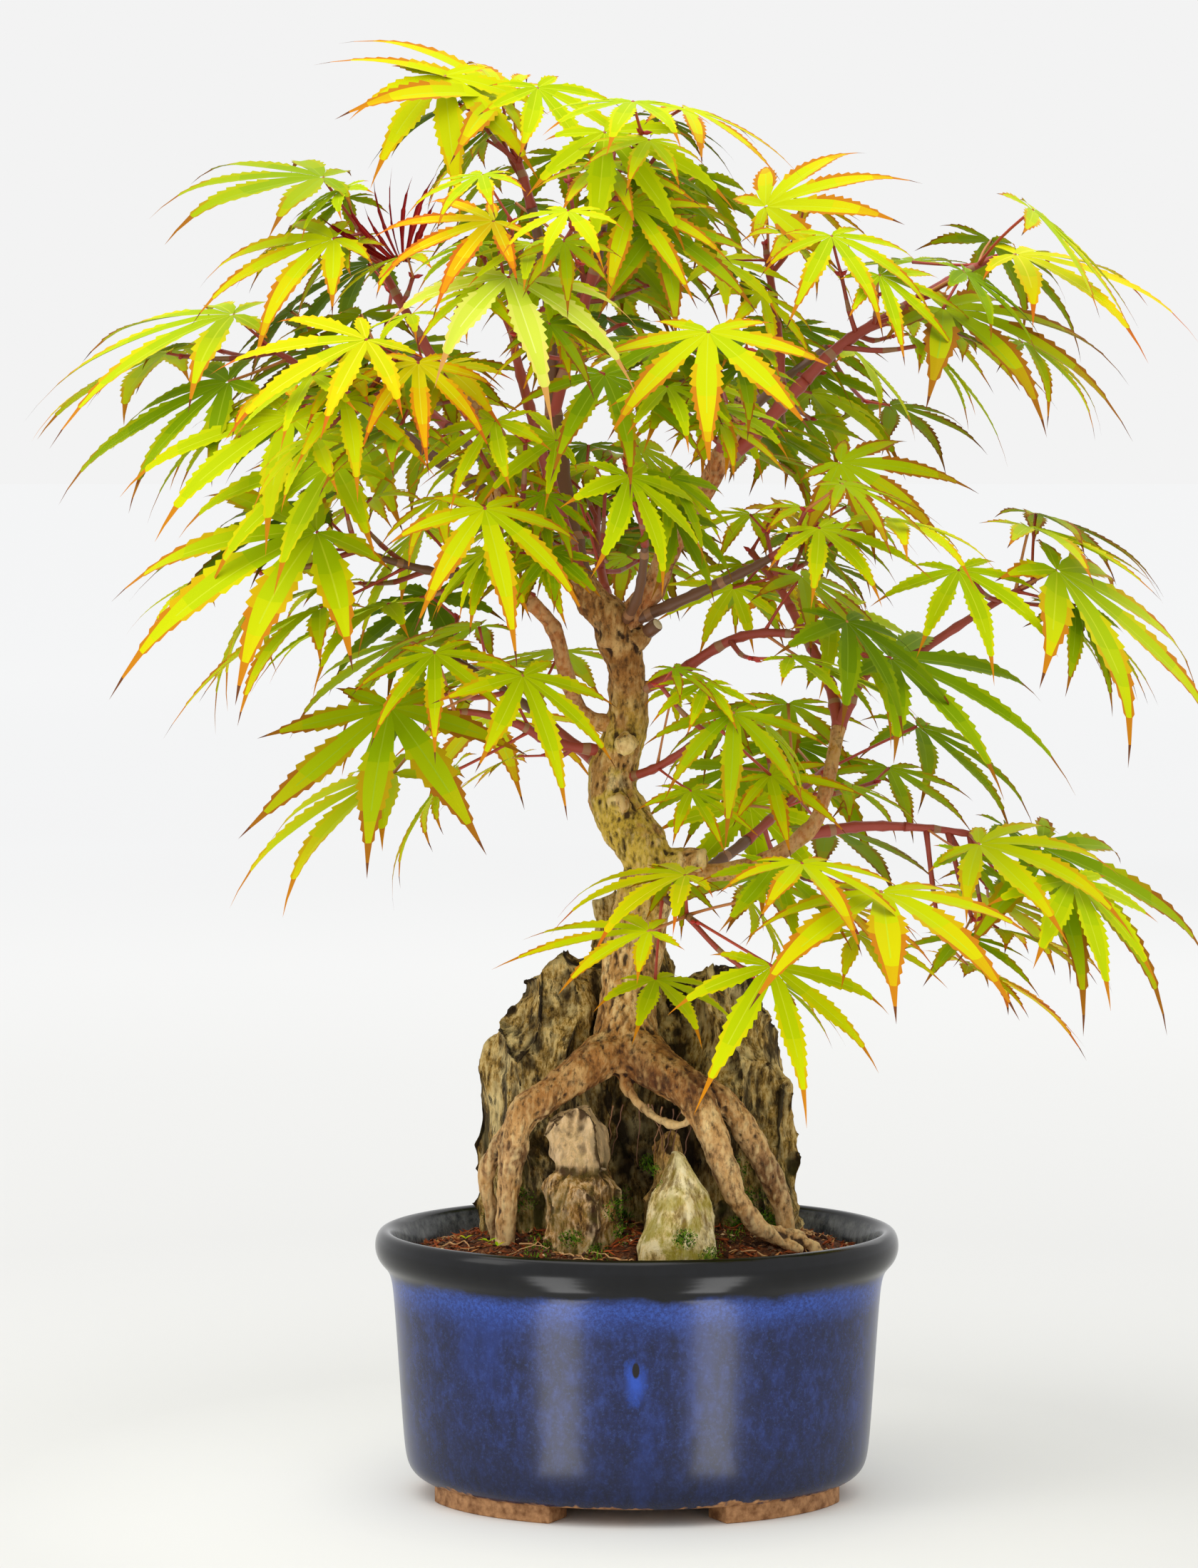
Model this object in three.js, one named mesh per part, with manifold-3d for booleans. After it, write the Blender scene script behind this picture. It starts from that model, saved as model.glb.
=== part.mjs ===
// A Japanese maple bonsai grown over a rock, in a blue glazed oval pot. Millimetres, +Z up.
// Before the last shift, X is to the right and Y to the back, from the middle of the pot's foot.

import * as THREE from 'three';
import Module from 'manifold-3d';

const wasm = await Module();
wasm.setup();
const { Manifold, Mesh: SolidMesh } = wasm;

// Driving dimensions

const GAP = 0.3; // left open wherever one piece bears on another
const POT_DEPTH_SHARE = 0.78; // the oval's depth for each unit of its width
const POT_HEIGHT = 81.8;
const POT_SIDES = 36;
const FOOT_HEIGHT = 5;
const FOOT_OUTER = 65; // half width of the foot ring
const FOOT_INNER = 52;
const FOOT_SPREAD = 24; // degrees of the ring that each foot fills, to either side
const FEET_AT = [42, 138, 222, 318]; // degrees round the pot
const SOIL_EDGE = 73;
const SOIL_TOP = 85;
const SOIL_SINK = 7; // how deep rocks and roots stand in the soil
const LEAF_THICKNESS_SHARE = 0.036; // at the hub, for each unit of the leaf's length
const PETIOLE_RADIUS = 0.7;
const LEAF_BACK = 0.08; // how far behind its hub a leaf ends, beside its stalk
const LAYERING = 1.4; // foliage spaces are this much flatter than they are wide
const SMOOTHING = 0.015; // faces that differ by less are made one
const SETTLE_ROUNDS = 80;
const SETTLE_MARGIN = 150;
const TRIES = 60; // at placing a leaf
const SMALLEST = 0.6; // share of its full length that a leaf has at the last try

// Outer profile of the pot from the foot up, and the inner one back down: half width, height
const POT_OUTSIDE = [
  [0, FOOT_HEIGHT], [65.6, FOOT_HEIGHT], [69.6, 7.6], [71.3, 12], [73, 36], [74.6, 64],
  [76.2, 70], [79, 73.6], [80, 77.6], [79, 81], [77, POT_HEIGHT],
];
const POT_INSIDE = [[74.2, 80], [72.1, 74], [70, 40], [66.5, 15], [61, 11.6], [0, 11.4]];

// Rocks, as levels from the bottom up: height, middle x and y, half width, half depth
const SUNK = SOIL_EDGE - SOIL_SINK;
const ROCK_MAIN = [
  {
    seed: 10,
    levels: [[SUNK, 0, 18, 48, 24], [98, 0, 19, 51, 24], [124, 1, 19, 46, 21], [146, 2, 18, 32, 16]],
  },
  {
    seed: 11,
    levels: [[SUNK, -25, 10, 25, 25], [104, -25, 10, 28, 27], [131, -23, 11, 26, 23], [162, -19, 12, 12, 12]],
  },
  {
    seed: 12,
    levels: [[SUNK, 0, 20, 18, 18], [150, 0, 18, 18, 16], [181, -5, 17, 7, 8]],
  },
  {
    seed: 13,
    levels: [[SUNK, 26, 10, 24, 23], [98, 26, 10, 26, 24], [121, 26, 11, 23, 21], [158, 27, 12, 12, 11]],
  },
];
const ROCK_FRONT = {
  seed: 14,
  levels: [[SUNK, -17, -24, 13, 12], [94, -17, -24, 13, 12], [114, -18, -21, 10, 9], [122, -17, -19, 4, 5]],
};
const ROCK_MIDDLE = {
  seed: 15,
  levels: [[SUNK, 9, -16, 9, 9], [90, 9, -16, 8, 8], [111, 9.5, -15, 4.5, 5]],
};
const STONE_PALE = {
  seed: 16,
  levels: [[SUNK, 12, -39, 14, 10], [82, 12, -39, 13.5, 10], [95, 12, -37, 10, 8.5], [108, 12, -35, 3, 3.5]],
};

// Limbs, as points along each one: x, y, z, diameter
const TRUNK = [
  [-3, -5, 132, 23], [-3.3, -5, 139.5, 20], [-3.1, -3, 154, 16.6], [-0.9, -2, 169.5, 18.4],
  [2.6, -3, 185.5, 17.4], [3.2, -4, 195.5, 15.4], [-5.9, 0, 211, 16], [-7, 2, 222, 14.8],
  [-3.2, 2, 237, 12.4], [-2.8, 0, 249, 10.6], [-5.4, -1, 261, 13], [-7, -2, 268, 13.4],
  [-13.2, -3, 274, 9.8], [-19.6, -5, 284.6, 7.4],
];
const TRUNK_KNOB = [[3.2, -4, 193, 9], [13, -7, 195, 8.4], [21, -9, 196.5, 6]];
const ROOTS = {
  left: [
    [-3.3, -6, 141, 16], [-13.5, -13, 134, 12.6], [-25, -18, 126.5, 10], [-35, -20, 119, 9.2],
    [-38, -21, 106, 8], [-39.5, -21, 90, 6.2], [-40, -21, 80, 4.6],
  ],
  left_outer: [
    [-37, -20, 117, 5.6], [-43, -17, 108, 5], [-46, -15, 98, 4.8], [-43.6, -14, 86, 4], [-43, -14, 80, 3.2],
  ],
  right_front: [
    [-3.3, -6, 140, 17], [6, -15, 133, 14.4], [15.5, -21, 127, 12], [21.5, -24, 117, 9],
    [27, -27, 102, 7.2], [34, -27, 89, 5.6], [41, -24, 83, 4.2], [50, -23, 78.5, 2.8],
  ],
  right_back: [
    [15, -18, 129, 9], [27, -17, 122, 8.4], [36.5, -16, 108, 7.6], [43.6, -15, 92, 6], [46, -14, 79, 4.6],
  ],
  surface: [[38, -24, 85, 4], [46, -20, 83, 3.8], [53, -20, 79.5, 3.4], [57, -21, 76.5, 2.8]],
  arch: [
    [-5, -11, 132, 6], [-1, -16, 124, 3.8], [6, -20, 118.5, 3], [13, -24, 117, 2.2], [19, -24, 121, 2.2],
  ],
};
const LIMBS = {
  bough_right: [
    [-4, -2, 267, 9.4], [4.6, -3, 278, 8], [9.4, -4, 289, 7.2], [16.6, -5, 301, 7], [25.6, -6, 318, 6.6],
    [32.4, -7, 335.6, 5.4],
  ],
  bough_left_lower: [
    [-4, 2, 236, 6.4], [-16, 0, 239, 5.6], [-21, -4, 250, 5.2], [-25.4, -6, 266, 5], [-32.4, -8, 274, 5],
    [-43.4, -10, 283.5, 5.4],
  ],
  bough_left_riser: [
    [-43.4, -10, 283, 6], [-42.4, -11, 304, 5.2], [-41.8, -12, 323, 5], [-49.3, -16, 333.7, 4.6],
    [-57, -22, 343, 3.6],
  ],
  bough_right_lower: [
    [3, -4, 192, 7], [31, -10, 193, 5.6], [51, -14, 204.5, 5], [57, -12, 217, 4.6], [61.2, -6, 236.4, 4.4],
  ],
};
const TRUNK_SIDES = 10;
const KNOB_SIDES = 7;
const ROOT_SIDES = 6;
const LIMB_SIDES = 7;
const TWIG_SIDES = 5;
const LIMB_STEPS = 2; // steps between two listed points
const TWIG_STEPS = 3;
const SHORTEST_BOUGH = 3; // steps: a shorter one is part of the mass's own stem

// Each foliage mass: the way its own limb goes from what carries it to the mass's last twig, its
// thickness there and at the end, how many pairs of leaves the rule grows on it, how long they are,
// and its lead leaves: the hub, then the heading round from +X, the pitch down, the turn to the
// front in degrees, and the length. A limb's first stretch, up to the mass's space, is its bough.
const MASSES = {
  top_left: {
    way: [
      [-17, -4, 281.6], [-22, 0, 306], [-26, 4.4, 337], [-27, 4.6, 367], [-32, 3.6, 393], [-38, 3.8, 413],
    ],
    thick: [6.6, 2.2], pairs: 4, leaf: 46, seed: 101,
    leads: [[-41, -4, 426, 188, -24, 24, 54], [-38, 10, 433, 150, -16, 18, 44]],
  },
  top_right: {
    way: [[-25.6, 3, 330], [-19, 2.1, 355], [-12, -2.2, 378], [-10, -9.5, 398], [-11, -10, 412]],
    thick: [4, 2], pairs: 3, leaf: 42, seed: 102,
    leads: [
      [-13.7, -5, 424, -20, 25, 35, 40], [-10, -27.5, 414, -45, 36, 30, 40],
      [-2, -32.5, 392, -60, 32, 30, 36],
    ],
  },
  upper_left: {
    way: [[-42, -12, 318], [-56, -8.5, 338], [-68, -2.2, 358], [-78, 2.4, 376], [-86, 2.5, 390]],
    thick: [4, 2], pairs: 4, leaf: 44, seed: 103,
    leads: [[-95, -2.5, 402, 182, -3, 16, 52], [-91, -15, 383, 192, 15, 24, 47]],
  },
  left_far: {
    way: [[-42, -11, 305], [-62, -4.2, 318], [-84, 4.5, 334], [-102, 9.5, 345], [-114, 11.2, 352]],
    thick: [4, 1.8], pairs: 3, leaf: 48, seed: 104,
    leads: [[-123, 7.5, 361, 180, 7, 15, 66], [-124, 2.5, 337, 184, 20, 22, 56]],
  },
  left_yellow: {
    way: [[-57.2, -22, 343.4], [-64, -33.8, 346], [-71, -50, 347]],
    thick: [3.4, 2], pairs: 3, leaf: 38, seed: 105,
    leads: [[-79, -65, 352, 212, 20, 30, 46], [-64, -60, 349, -90, 45, 0, 34]],
  },
  left_mid: {
    way: [[-32, -8, 275], [-44, -12.8, 282.5], [-58, -18, 283], [-74, -26.1, 287], [-88, -32.5, 292]],
    thick: [3.6, 1.8], pairs: 3, leaf: 50, seed: 106,
    leads: [[-95, -42.5, 298, 208, 20, 30, 72], [-97, -17.5, 307, 178, 12, 18, 62]],
  },
  left_low: {
    way: [[-5.4, 3, 227.6], [-25, -3.2, 231], [-36, -9, 237], [-50, -14.2, 241], [-66, -25, 241]],
    thick: [3.8, 1.6], pairs: 2, leaf: 38, seed: 107,
    leads: [
      [-73.5, -40, 244, -102, 44, 0, 56], [-34, -52.5, 254, -62, 42, 0, 40],
      [-74, -7.5, 222, 186, 23, 10, 58],
    ],
  },
  centre_front: {
    way: [[-17.6, -5, 283], [-24, -12.8, 303], [-31, -27, 328], [-36, -45.1, 348], [-37, -65, 360]],
    thick: [4.4, 2], pairs: 3, leaf: 36, seed: 108,
    leads: [[-37.6, -82.5, 366.3, -72, 36, 0, 52], [-42, -70, 386, 205, 14, 30, 38]],
  },
  centre_right: {
    way: [[25.2, -6, 317], [26, -15.2, 330], [23, -30.3, 343], [20, -47.5, 350]],
    thick: [4, 2], pairs: 3, leaf: 38, seed: 109,
    leads: [[20, -65, 356, -88, 46, 0, 52]],
  },
  centre_mid: {
    way: [[-15, -4, 278], [-22, -17.3, 286], [-30, -37.3, 297], [-36, -57.5, 303]],
    thick: [3.6, 2], pairs: 3, leaf: 34, seed: 110,
    leads: [[-44.6, -75, 306, -84, 38, 0, 46], [-24, -60, 321, 206, 0, 40, 38]],
  },
  centre_low: {
    way: [[-5, -2, 266], [0, -17.3, 276], [2, -35, 292], [0, -52.5, 304]],
    thick: [3.4, 1.8], pairs: 3, leaf: 34, seed: 111,
    leads: [[-3, -67.5, 312, -62, 38, 0, 50]],
  },
  right_upper: {
    way: [[43.2, -5, 332], [43, 0, 350], [41, 4.7, 368], [39, 7.5, 382]],
    thick: [3.6, 1.8], pairs: 4, leaf: 40, seed: 112,
    leads: [[39, 5, 390, 12, -18, 30, 46], [24, -10, 378, -30, 26, 20, 42]],
  },
  right_top_far: {
    way: [
      [24, -6, 315], [35, -6.2, 324], [46, -5.4, 336], [61, -3.4, 351], [77, -2.3, 361], [94, 0, 371],
      [108, 2.5, 378],
    ],
    thick: [5, 1.8], pairs: 3, leaf: 44, seed: 113,
    leads: [
      [115, 3.8, 379, -6, 8, 14, 52], [92, -12.5, 362, -26, 22, 18, 68], [85, 20, 379, 100, -10, 20, 38],
    ],
  },
  right_mid: {
    way: [[-4.6, -2, 266.9], [12, -8.5, 274], [28, -15.8, 281.5], [40, -22.6, 288], [49, -30, 296]],
    thick: [4, 1.8], pairs: 4, leaf: 42, seed: 114,
    leads: [[60, -25, 320, -15, 20, 35, 52], [53, -47.5, 301, -45, 20, 20, 52]],
  },
  right_far: {
    way: [[61.2, -6, 236], [69, -6.4, 252], [82, -6.8, 257], [104, -4.8, 271], [120, -2.5, 280]],
    thick: [4, 1.8], pairs: 4, leaf: 48, seed: 115,
    leads: [[127, -5, 281, -22, 34, 14, 68], [84, -27.5, 290, -20, 22, 20, 60]],
  },
  right_low_mid: {
    way: [
      [-2.8, 1, 246], [10, -4.2, 251], [28, -11, 262.5], [43, -16.1, 265], [58, -21.6, 262],
      [70, -27.5, 258],
    ],
    thick: [3.8, 1.6], pairs: 2, leaf: 42, seed: 116,
    leads: [[75, -35, 257, -15, 20, 22, 60], [58, -15, 272, -20, 15, 20, 46]],
  },
  low_mid: {
    way: [[-6.6, 1, 219], [6, -8.7, 224], [18, -23.3, 233], [26, -37.5, 240]],
    thick: [3, 1.6], pairs: 2, leaf: 28, seed: 117,
    leads: [[28, -52.5, 243, -92, 36, 10, 38], [40, -22.5, 222, -30, 30, 30, 32]],
  },
  right_low_front: {
    way: [[38, -11.4, 196], [52, -24.8, 192], [64, -40, 190]],
    thick: [3.6, 2], pairs: 3, leaf: 44, seed: 118,
    leads: [[71, -57.5, 191.4, -82, 27, 0, 64]],
  },
  right_low_far: {
    way: [[50, -13.8, 203.8], [68, -8.7, 206], [88, -2.3, 205], [108, 0, 202]],
    thick: [3.8, 1.8], pairs: 4, leaf: 46, seed: 119,
    leads: [[123, -2.5, 199, -26, 36, 14, 66], [103, -17.5, 204, -38, 20, 22, 56]],
  },
  low_front: {
    way: [[3.2, -4, 190], [10, -20.2, 184], [17, -40, 180]],
    thick: [3, 1.6], pairs: 2, leaf: 34, seed: 120,
    leads: [
      [39, -60, 169, -72, 40, 0, 46], [3, -57.5, 179, 186, 4, 14, 42], [14, -40, 194, 188, 2, 12, 40],
    ],
  },
  right_inner: {
    way: [[61.2, -6, 236.4], [58.4, 1.1, 250], [52, 11.2, 262], [45, 26.1, 276], [36, 42.5, 288]],
    thick: [4, 2], pairs: 4, leaf: 38, seed: 121,
    leads: [],
  },
  back_top: {
    way: [[-26, 4, 342], [-22, 19.5, 356], [-16, 39.7, 370], [-12, 57.5, 384]],
    thick: [3.8, 2], pairs: 4, leaf: 44, seed: 122,
    leads: [],
  },
  back_left: {
    way: [[-42, -11.5, 312], [-50, 4.2, 320], [-62, 27, 330], [-76, 54.6, 338], [-86, 72.5, 342]],
    thick: [3.8, 2], pairs: 3, leaf: 48, seed: 123,
    leads: [],
  },
  back_right: {
    way: [[22, -6, 311], [30, 10.8, 326], [44, 35, 340], [60, 62.5, 352]],
    thick: [3.8, 2], pairs: 4, leaf: 46, seed: 124,
    leads: [],
  },
  back_middle: {
    way: [[-4.4, -1, 258], [-8, 19.5, 270], [-12, 49, 288], [-12, 77.5, 302]],
    thick: [4, 2], pairs: 4, leaf: 44, seed: 125,
    leads: [],
  },
  back_low_left: {
    way: [[-7, 1.6, 219], [-20, 17.3, 230], [-40, 42, 244], [-58, 65, 254]],
    thick: [3.8, 1.8], pairs: 3, leaf: 46, seed: 126,
    leads: [],
  },
  back_low_right: {
    way: [[20, -8, 192], [34, 13, 200], [50, 39.7, 212], [62, 65, 220]],
    thick: [3.8, 1.8], pairs: 3, leaf: 44, seed: 127,
    leads: [],
  },
};

// A leaf's lobes: degrees from the middle one, and length as a share of the leaf's
const LOBES = [[-116, 0.38], [-75, 0.72], [-37, 0.94], [0, 1], [37, 0.94], [75, 0.72], [116, 0.38]];
const NOTCH = 0.33; // how far out the cuts between lobes end, and nearer at the two hindmost
const NOTCH_HIND = 0.24;
const DROOP = 0.18; // how far a lobe's tip hangs below the hub's plane

const COLOURS = {
  glaze: 0x27418f, soil: 0x4a2c1c, rock: 0x7c6b4e, pale: 0xc9b78a, bark: 0x7a5b3c, twig: 0x8a5238,
  lime: 0x9fc41c, green: 0x6f9f1c, yellow: 0xd9cf1e, pale_leaf: 0xb8d63c,
};
const LEAF_COLOUR = {
  left_yellow: 'yellow', centre_front: 'pale_leaf', centre_mid: 'lime', back_top: 'green', back_left: 'green',
  back_right: 'green', back_middle: 'green', back_low_left: 'green', back_low_right: 'green',
};

// Tools

const vector = ([x, y, z]) => new THREE.Vector3(x, y, z);
const radians = THREE.MathUtils.degToRad;

function randomFrom(seed) {
  let state = seed >>> 0;
  return () => {
    state = (state + 0x6d2b79f5) >>> 0;
    let t = state;
    t = Math.imul(t ^ (t >>> 15), t | 1);
    t ^= t + Math.imul(t ^ (t >>> 7), t | 61);
    return ((t ^ (t >>> 14)) >>> 0) / 4294967296;
  };
}

function solidOf(vertices, triangles) {
  return new Manifold(new SolidMesh({
    numProp: 3,
    vertProperties: Float32Array.from(vertices.flatMap((v) => [v.x, v.y, v.z])),
    triVerts: Uint32Array.from(triangles.flat()),
  }));
}

function largestBody(solid) {
  const bodies = solid.decompose();
  bodies.sort((a, b) => b.volume() - a.volume());
  return bodies[0];
}

// Points along a limb, evenly between the listed ones
function limbPath(points, stepsBetween) {
  const curve = new THREE.CatmullRomCurve3(points.map(vector), false, 'catmullrom', 0.5);
  const spans = points.length - 1;
  const count = spans * stepsBetween;
  return Array.from({ length: count + 1 }, (_, i) => {
    const along = (i / count) * spans;
    const span = Math.min(Math.floor(along), spans - 1);
    const diameter = THREE.MathUtils.lerp(points[span][3], points[span + 1][3], along - span);
    return { at: curve.getPoint(i / count), radius: diameter / 2 };
  });
}

// A round limb swept along its path, with flat ends, and with its radius grown where asked
function limbSolid(path, sides, grow = 0) {
  const vertices = [];
  const triangles = [];
  const last = path.length - 1;
  let across = null;
  const tangents = path.map((_, i) =>
    path[Math.min(i + 1, last)].at.clone().sub(path[Math.max(i - 1, 0)].at).normalize());
  path.forEach(({ at, radius }, i) => {
    const tangent = tangents[i];
    if (!across) {
      across = Math.abs(tangent.z) < 0.9 ? new THREE.Vector3(0, 0, 1) : new THREE.Vector3(1, 0, 0);
    }
    across = across.clone().addScaledVector(tangent, -across.dot(tangent)).normalize();
    const other = tangent.clone().cross(across);
    const shift = i === 0 ? -grow : i === last ? grow : 0;
    const middle = at.clone().addScaledVector(tangent, shift);
    for (let side = 0; side < sides; side++) {
      const angle = (side / sides) * 2 * Math.PI;
      vertices.push(middle.clone()
        .addScaledVector(across, Math.cos(angle) * (radius + grow))
        .addScaledVector(other, Math.sin(angle) * (radius + grow)));
    }
  });
  for (let ring = 0; ring < last; ring++) {
    for (let side = 0; side < sides; side++) {
      const a = ring * sides + side;
      const b = ring * sides + ((side + 1) % sides);
      triangles.push([a, b, b + sides], [a, b + sides, a + sides]);
    }
  }
  for (let side = 1; side < sides - 1; side++) {
    triangles.push([0, side + 1, side]);
    triangles.push([last * sides, last * sides + side, last * sides + side + 1]);
  }
  return solidOf(vertices, triangles);
}

// Nearest distance between a point and the stretch from a to b
function distanceToStretch(point, a, b) {
  const along = b.clone().sub(a);
  const t = THREE.MathUtils.clamp(point.clone().sub(a).dot(along) / along.lengthSq(), 0, 1);
  return point.distanceTo(a.clone().addScaledVector(along, t));
}

function stretchesOf(path, owner) {
  return path.slice(1).map((step, i) => ({
    a: path[i].at, b: step.at, radius: Math.max(path[i].radius, step.radius), owner,
  }));
}

// Pot

function ovalOf(lathe) {
  lathe.rotateX(Math.PI / 2);
  lathe.scale(1, POT_DEPTH_SHARE, 1);
  return solidFromGeometry(lathe);
}

function solidFromGeometry(geometry) {
  const position = geometry.getAttribute('position');
  const seen = new Map();
  const vertices = [];
  const order = Array.from({ length: position.count }, (_, i) => {
    const key = [0, 1, 2].map((axis) => Math.round(position.getComponent(i, axis) * 1e4)).join();
    if (!seen.has(key)) {
      seen.set(key, vertices.length);
      vertices.push(new THREE.Vector3().fromBufferAttribute(position, i));
    }
    return seen.get(key);
  });
  const triangles = [];
  for (let i = 0; i < geometry.index.count; i += 3) {
    const corners = [0, 1, 2].map((k) => order[geometry.index.getX(i + k)]);
    if (new Set(corners).size === 3) triangles.push(corners);
  }
  const solid = solidOf(vertices, triangles);
  return solid.volume() > 0 ? solid : solidOf(vertices, triangles.map(([a, b, c]) => [a, c, b]));
}

function footSolid(middleDegrees) {
  const steps = 6;
  const outline = [];
  const point = (half, degrees) => [
    half * Math.cos(radians(degrees)), half * Math.sin(radians(degrees)) * POT_DEPTH_SHARE,
  ];
  for (let i = 0; i <= steps; i++) {
    outline.push(point(FOOT_OUTER, middleDegrees - FOOT_SPREAD + (2 * FOOT_SPREAD * i) / steps));
  }
  for (let i = steps; i >= 0; i--) {
    outline.push(point(FOOT_INNER, middleDegrees - FOOT_SPREAD + (2 * FOOT_SPREAD * i) / steps));
  }
  const shape = new THREE.Shape(outline.map(([x, y]) => new THREE.Vector2(x, y)));
  const foot = new THREE.ExtrudeGeometry(shape, { depth: FOOT_HEIGHT + 1.5, bevelEnabled: false });
  foot.setIndex([...Array(foot.getAttribute('position').count).keys()]);
  return solidFromGeometry(foot);
}

function potSolid() {
  const profile = [...POT_OUTSIDE, ...POT_INSIDE].map(([half, height]) => new THREE.Vector2(half, height));
  const body = ovalOf(new THREE.LatheGeometry(profile, POT_SIDES));
  return Manifold.union([body, ...FEET_AT.map(footSolid)]);
}

function soilSolid() {
  const inner = POT_INSIDE.slice().reverse().filter(([, height]) => height < SOIL_EDGE);
  const wall = inner.map(([half, height], i) => [Math.max(half - GAP * 1.3, 0), height + (i < 2 ? GAP : 0)]);
  const rimHalf = 71.5;
  const mound = [[rimHalf, SOIL_EDGE], [54, 78.5], [34, 83.5], [0, SOIL_TOP]];
  const profile = [...wall, ...mound].map(([half, height]) => new THREE.Vector2(half, height));
  return ovalOf(new THREE.LatheGeometry(profile, POT_SIDES));
}

// Rocks: each is the hull of rough rings of corners, one for each level

function cragSolid({ seed, levels }, grow = 0) {
  const random = randomFrom(seed);
  const corners = [];
  levels.forEach(([height, x, y, halfWidth, halfDepth], level) => {
    const count = 9;
    const end = level === levels.length - 1 ? 1 : level === 0 ? -1 : 0;
    for (let i = 0; i < count; i++) {
      const angle = ((i + 0.7 * random()) / count) * 2 * Math.PI;
      const out = 0.84 + 0.16 * random();
      const up = level === 0 ? 0 : (random() - 0.5) * 6;
      corners.push([
        x + (halfWidth * out + grow) * Math.cos(angle),
        y + (halfDepth * out + grow) * Math.sin(angle),
        height + up + end * grow,
      ]);
    }
  });
  return Manifold.hull(corners);
}

// Foliage

// Where a leaf's plane comes at a share of its length from the hub, in a direction off its middle
function leafPoint(leaf, share, degrees) {
  const ahead = share * Math.cos(radians(degrees)) * leaf.length;
  const aside = share * Math.sin(radians(degrees)) * leaf.length;
  return leaf.hub.clone()
    .addScaledVector(leaf.heading, ahead)
    .addScaledVector(leaf.side, aside)
    .addScaledVector(leaf.normal, -DROOP * share * share * leaf.length);
}

// The leaf's outline, round from one side of its stalk to the other
function leafOutline(leaf) {
  const outline = [leafPoint(leaf, LEAF_BACK, -171)];
  LOBES.forEach(([degrees, length], i) => {
    if (i > 0) {
      const notch = i === 1 || i === LOBES.length - 1 ? NOTCH_HIND : NOTCH;
      outline.push(leafPoint(leaf, notch, (degrees + LOBES[i - 1][0]) / 2));
    }
    outline.push(leafPoint(leaf, length, degrees));
  });
  outline.push(leafPoint(leaf, LEAF_BACK, 171));
  return outline;
}

// A leaf and its stalk in one piece: two fans of thin triangles about the hub, one on each face,
// and a three-sided stalk grown out of the triangle behind the hub that looks toward its foot
function leafSolid(leaf) {
  const outline = leafOutline(leaf);
  const half = (LEAF_THICKNESS_SHARE * leaf.length) / 2;
  const top = leaf.hub.clone().addScaledVector(leaf.normal, half);
  const bottom = leaf.hub.clone().addScaledVector(leaf.normal, -half);
  const vertices = [...outline, top, bottom];
  const last = outline.length - 1;
  const topHub = outline.length;
  const bottomHub = outline.length + 1;
  const toFoot = leaf.from.clone().sub(leaf.hub).normalize();
  const below = toFoot.dot(leaf.normal) < 0;
  const triangles = outline.slice(1).flatMap((_, i) => [[topHub, i, i + 1], [bottomHub, i + 1, i]]);
  triangles.push(below ? [topHub, last, 0] : [bottomHub, 0, last]);
  const ring = below ? [bottomHub, 0, last] : [topHub, last, 0];
  const middle = meanOf(ring.map((corner) => vertices[corner]));
  const across = vertices[ring[0]].clone().sub(middle);
  across.addScaledVector(toFoot, -across.dot(toFoot)).normalize();
  const other = toFoot.clone().cross(across);
  const foot = ring.map((_, corner) => {
    const angle = (corner / 3) * 2 * Math.PI;
    vertices.push(leaf.from.clone()
      .addScaledVector(across, Math.cos(angle) * PETIOLE_RADIUS)
      .addScaledVector(other, Math.sin(angle) * PETIOLE_RADIUS));
    return vertices.length - 1;
  });
  for (let corner = 0; corner < 3; corner++) {
    const next = (corner + 1) % 3;
    triangles.push([ring[corner], ring[next], foot[next]], [ring[corner], foot[next], foot[corner]]);
  }
  triangles.push(foot);
  return solidOf(vertices, triangles);
}

function leafAt(hub, headingDegrees, pitchDegrees, turn, toward, length) {
  const level = Math.cos(radians(pitchDegrees));
  const heading = new THREE.Vector3(
    Math.cos(radians(headingDegrees)) * level,
    Math.sin(radians(headingDegrees)) * level,
    -Math.sin(radians(pitchDegrees)),
  );
  const up = new THREE.Vector3(0, 0, 1).multiplyScalar(Math.cos(radians(turn)));
  const normal = up.addScaledVector(toward, Math.sin(radians(turn)));
  normal.addScaledVector(heading, -normal.dot(heading)).normalize();
  const side = normal.clone().cross(heading);
  return { hub, heading, normal, side, length };
}

const FRONT = new THREE.Vector3(0, -1, 0);

// The points that a mass's space has to hold: its lead leaves and the end of its way
function heldPoints({ way, leads }) {
  const leaves = leads.map(([x, y, z, heading, pitch, turn, length]) =>
    leafAt(vector([x, y, z]), heading, pitch, turn, FRONT, length));
  return [...way.slice(-2).map(vector), ...leaves.flatMap((leaf) => [leaf.hub, ...leafOutline(leaf)])];
}

function meanOf(points) {
  const sum = points.reduce((total, point) => total.add(point), new THREE.Vector3());
  return sum.multiplyScalar(1 / points.length);
}

// How far a point is from a mass's middle, squared and flattened, less the mass's own allowance
function reachOf(point, { middle, allowance }) {
  const dx = point.x - middle.x;
  const dy = point.y - middle.y;
  const dz = (point.z - middle.z) * LAYERING;
  return dx * dx + dy * dy + dz * dz - allowance;
}

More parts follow.
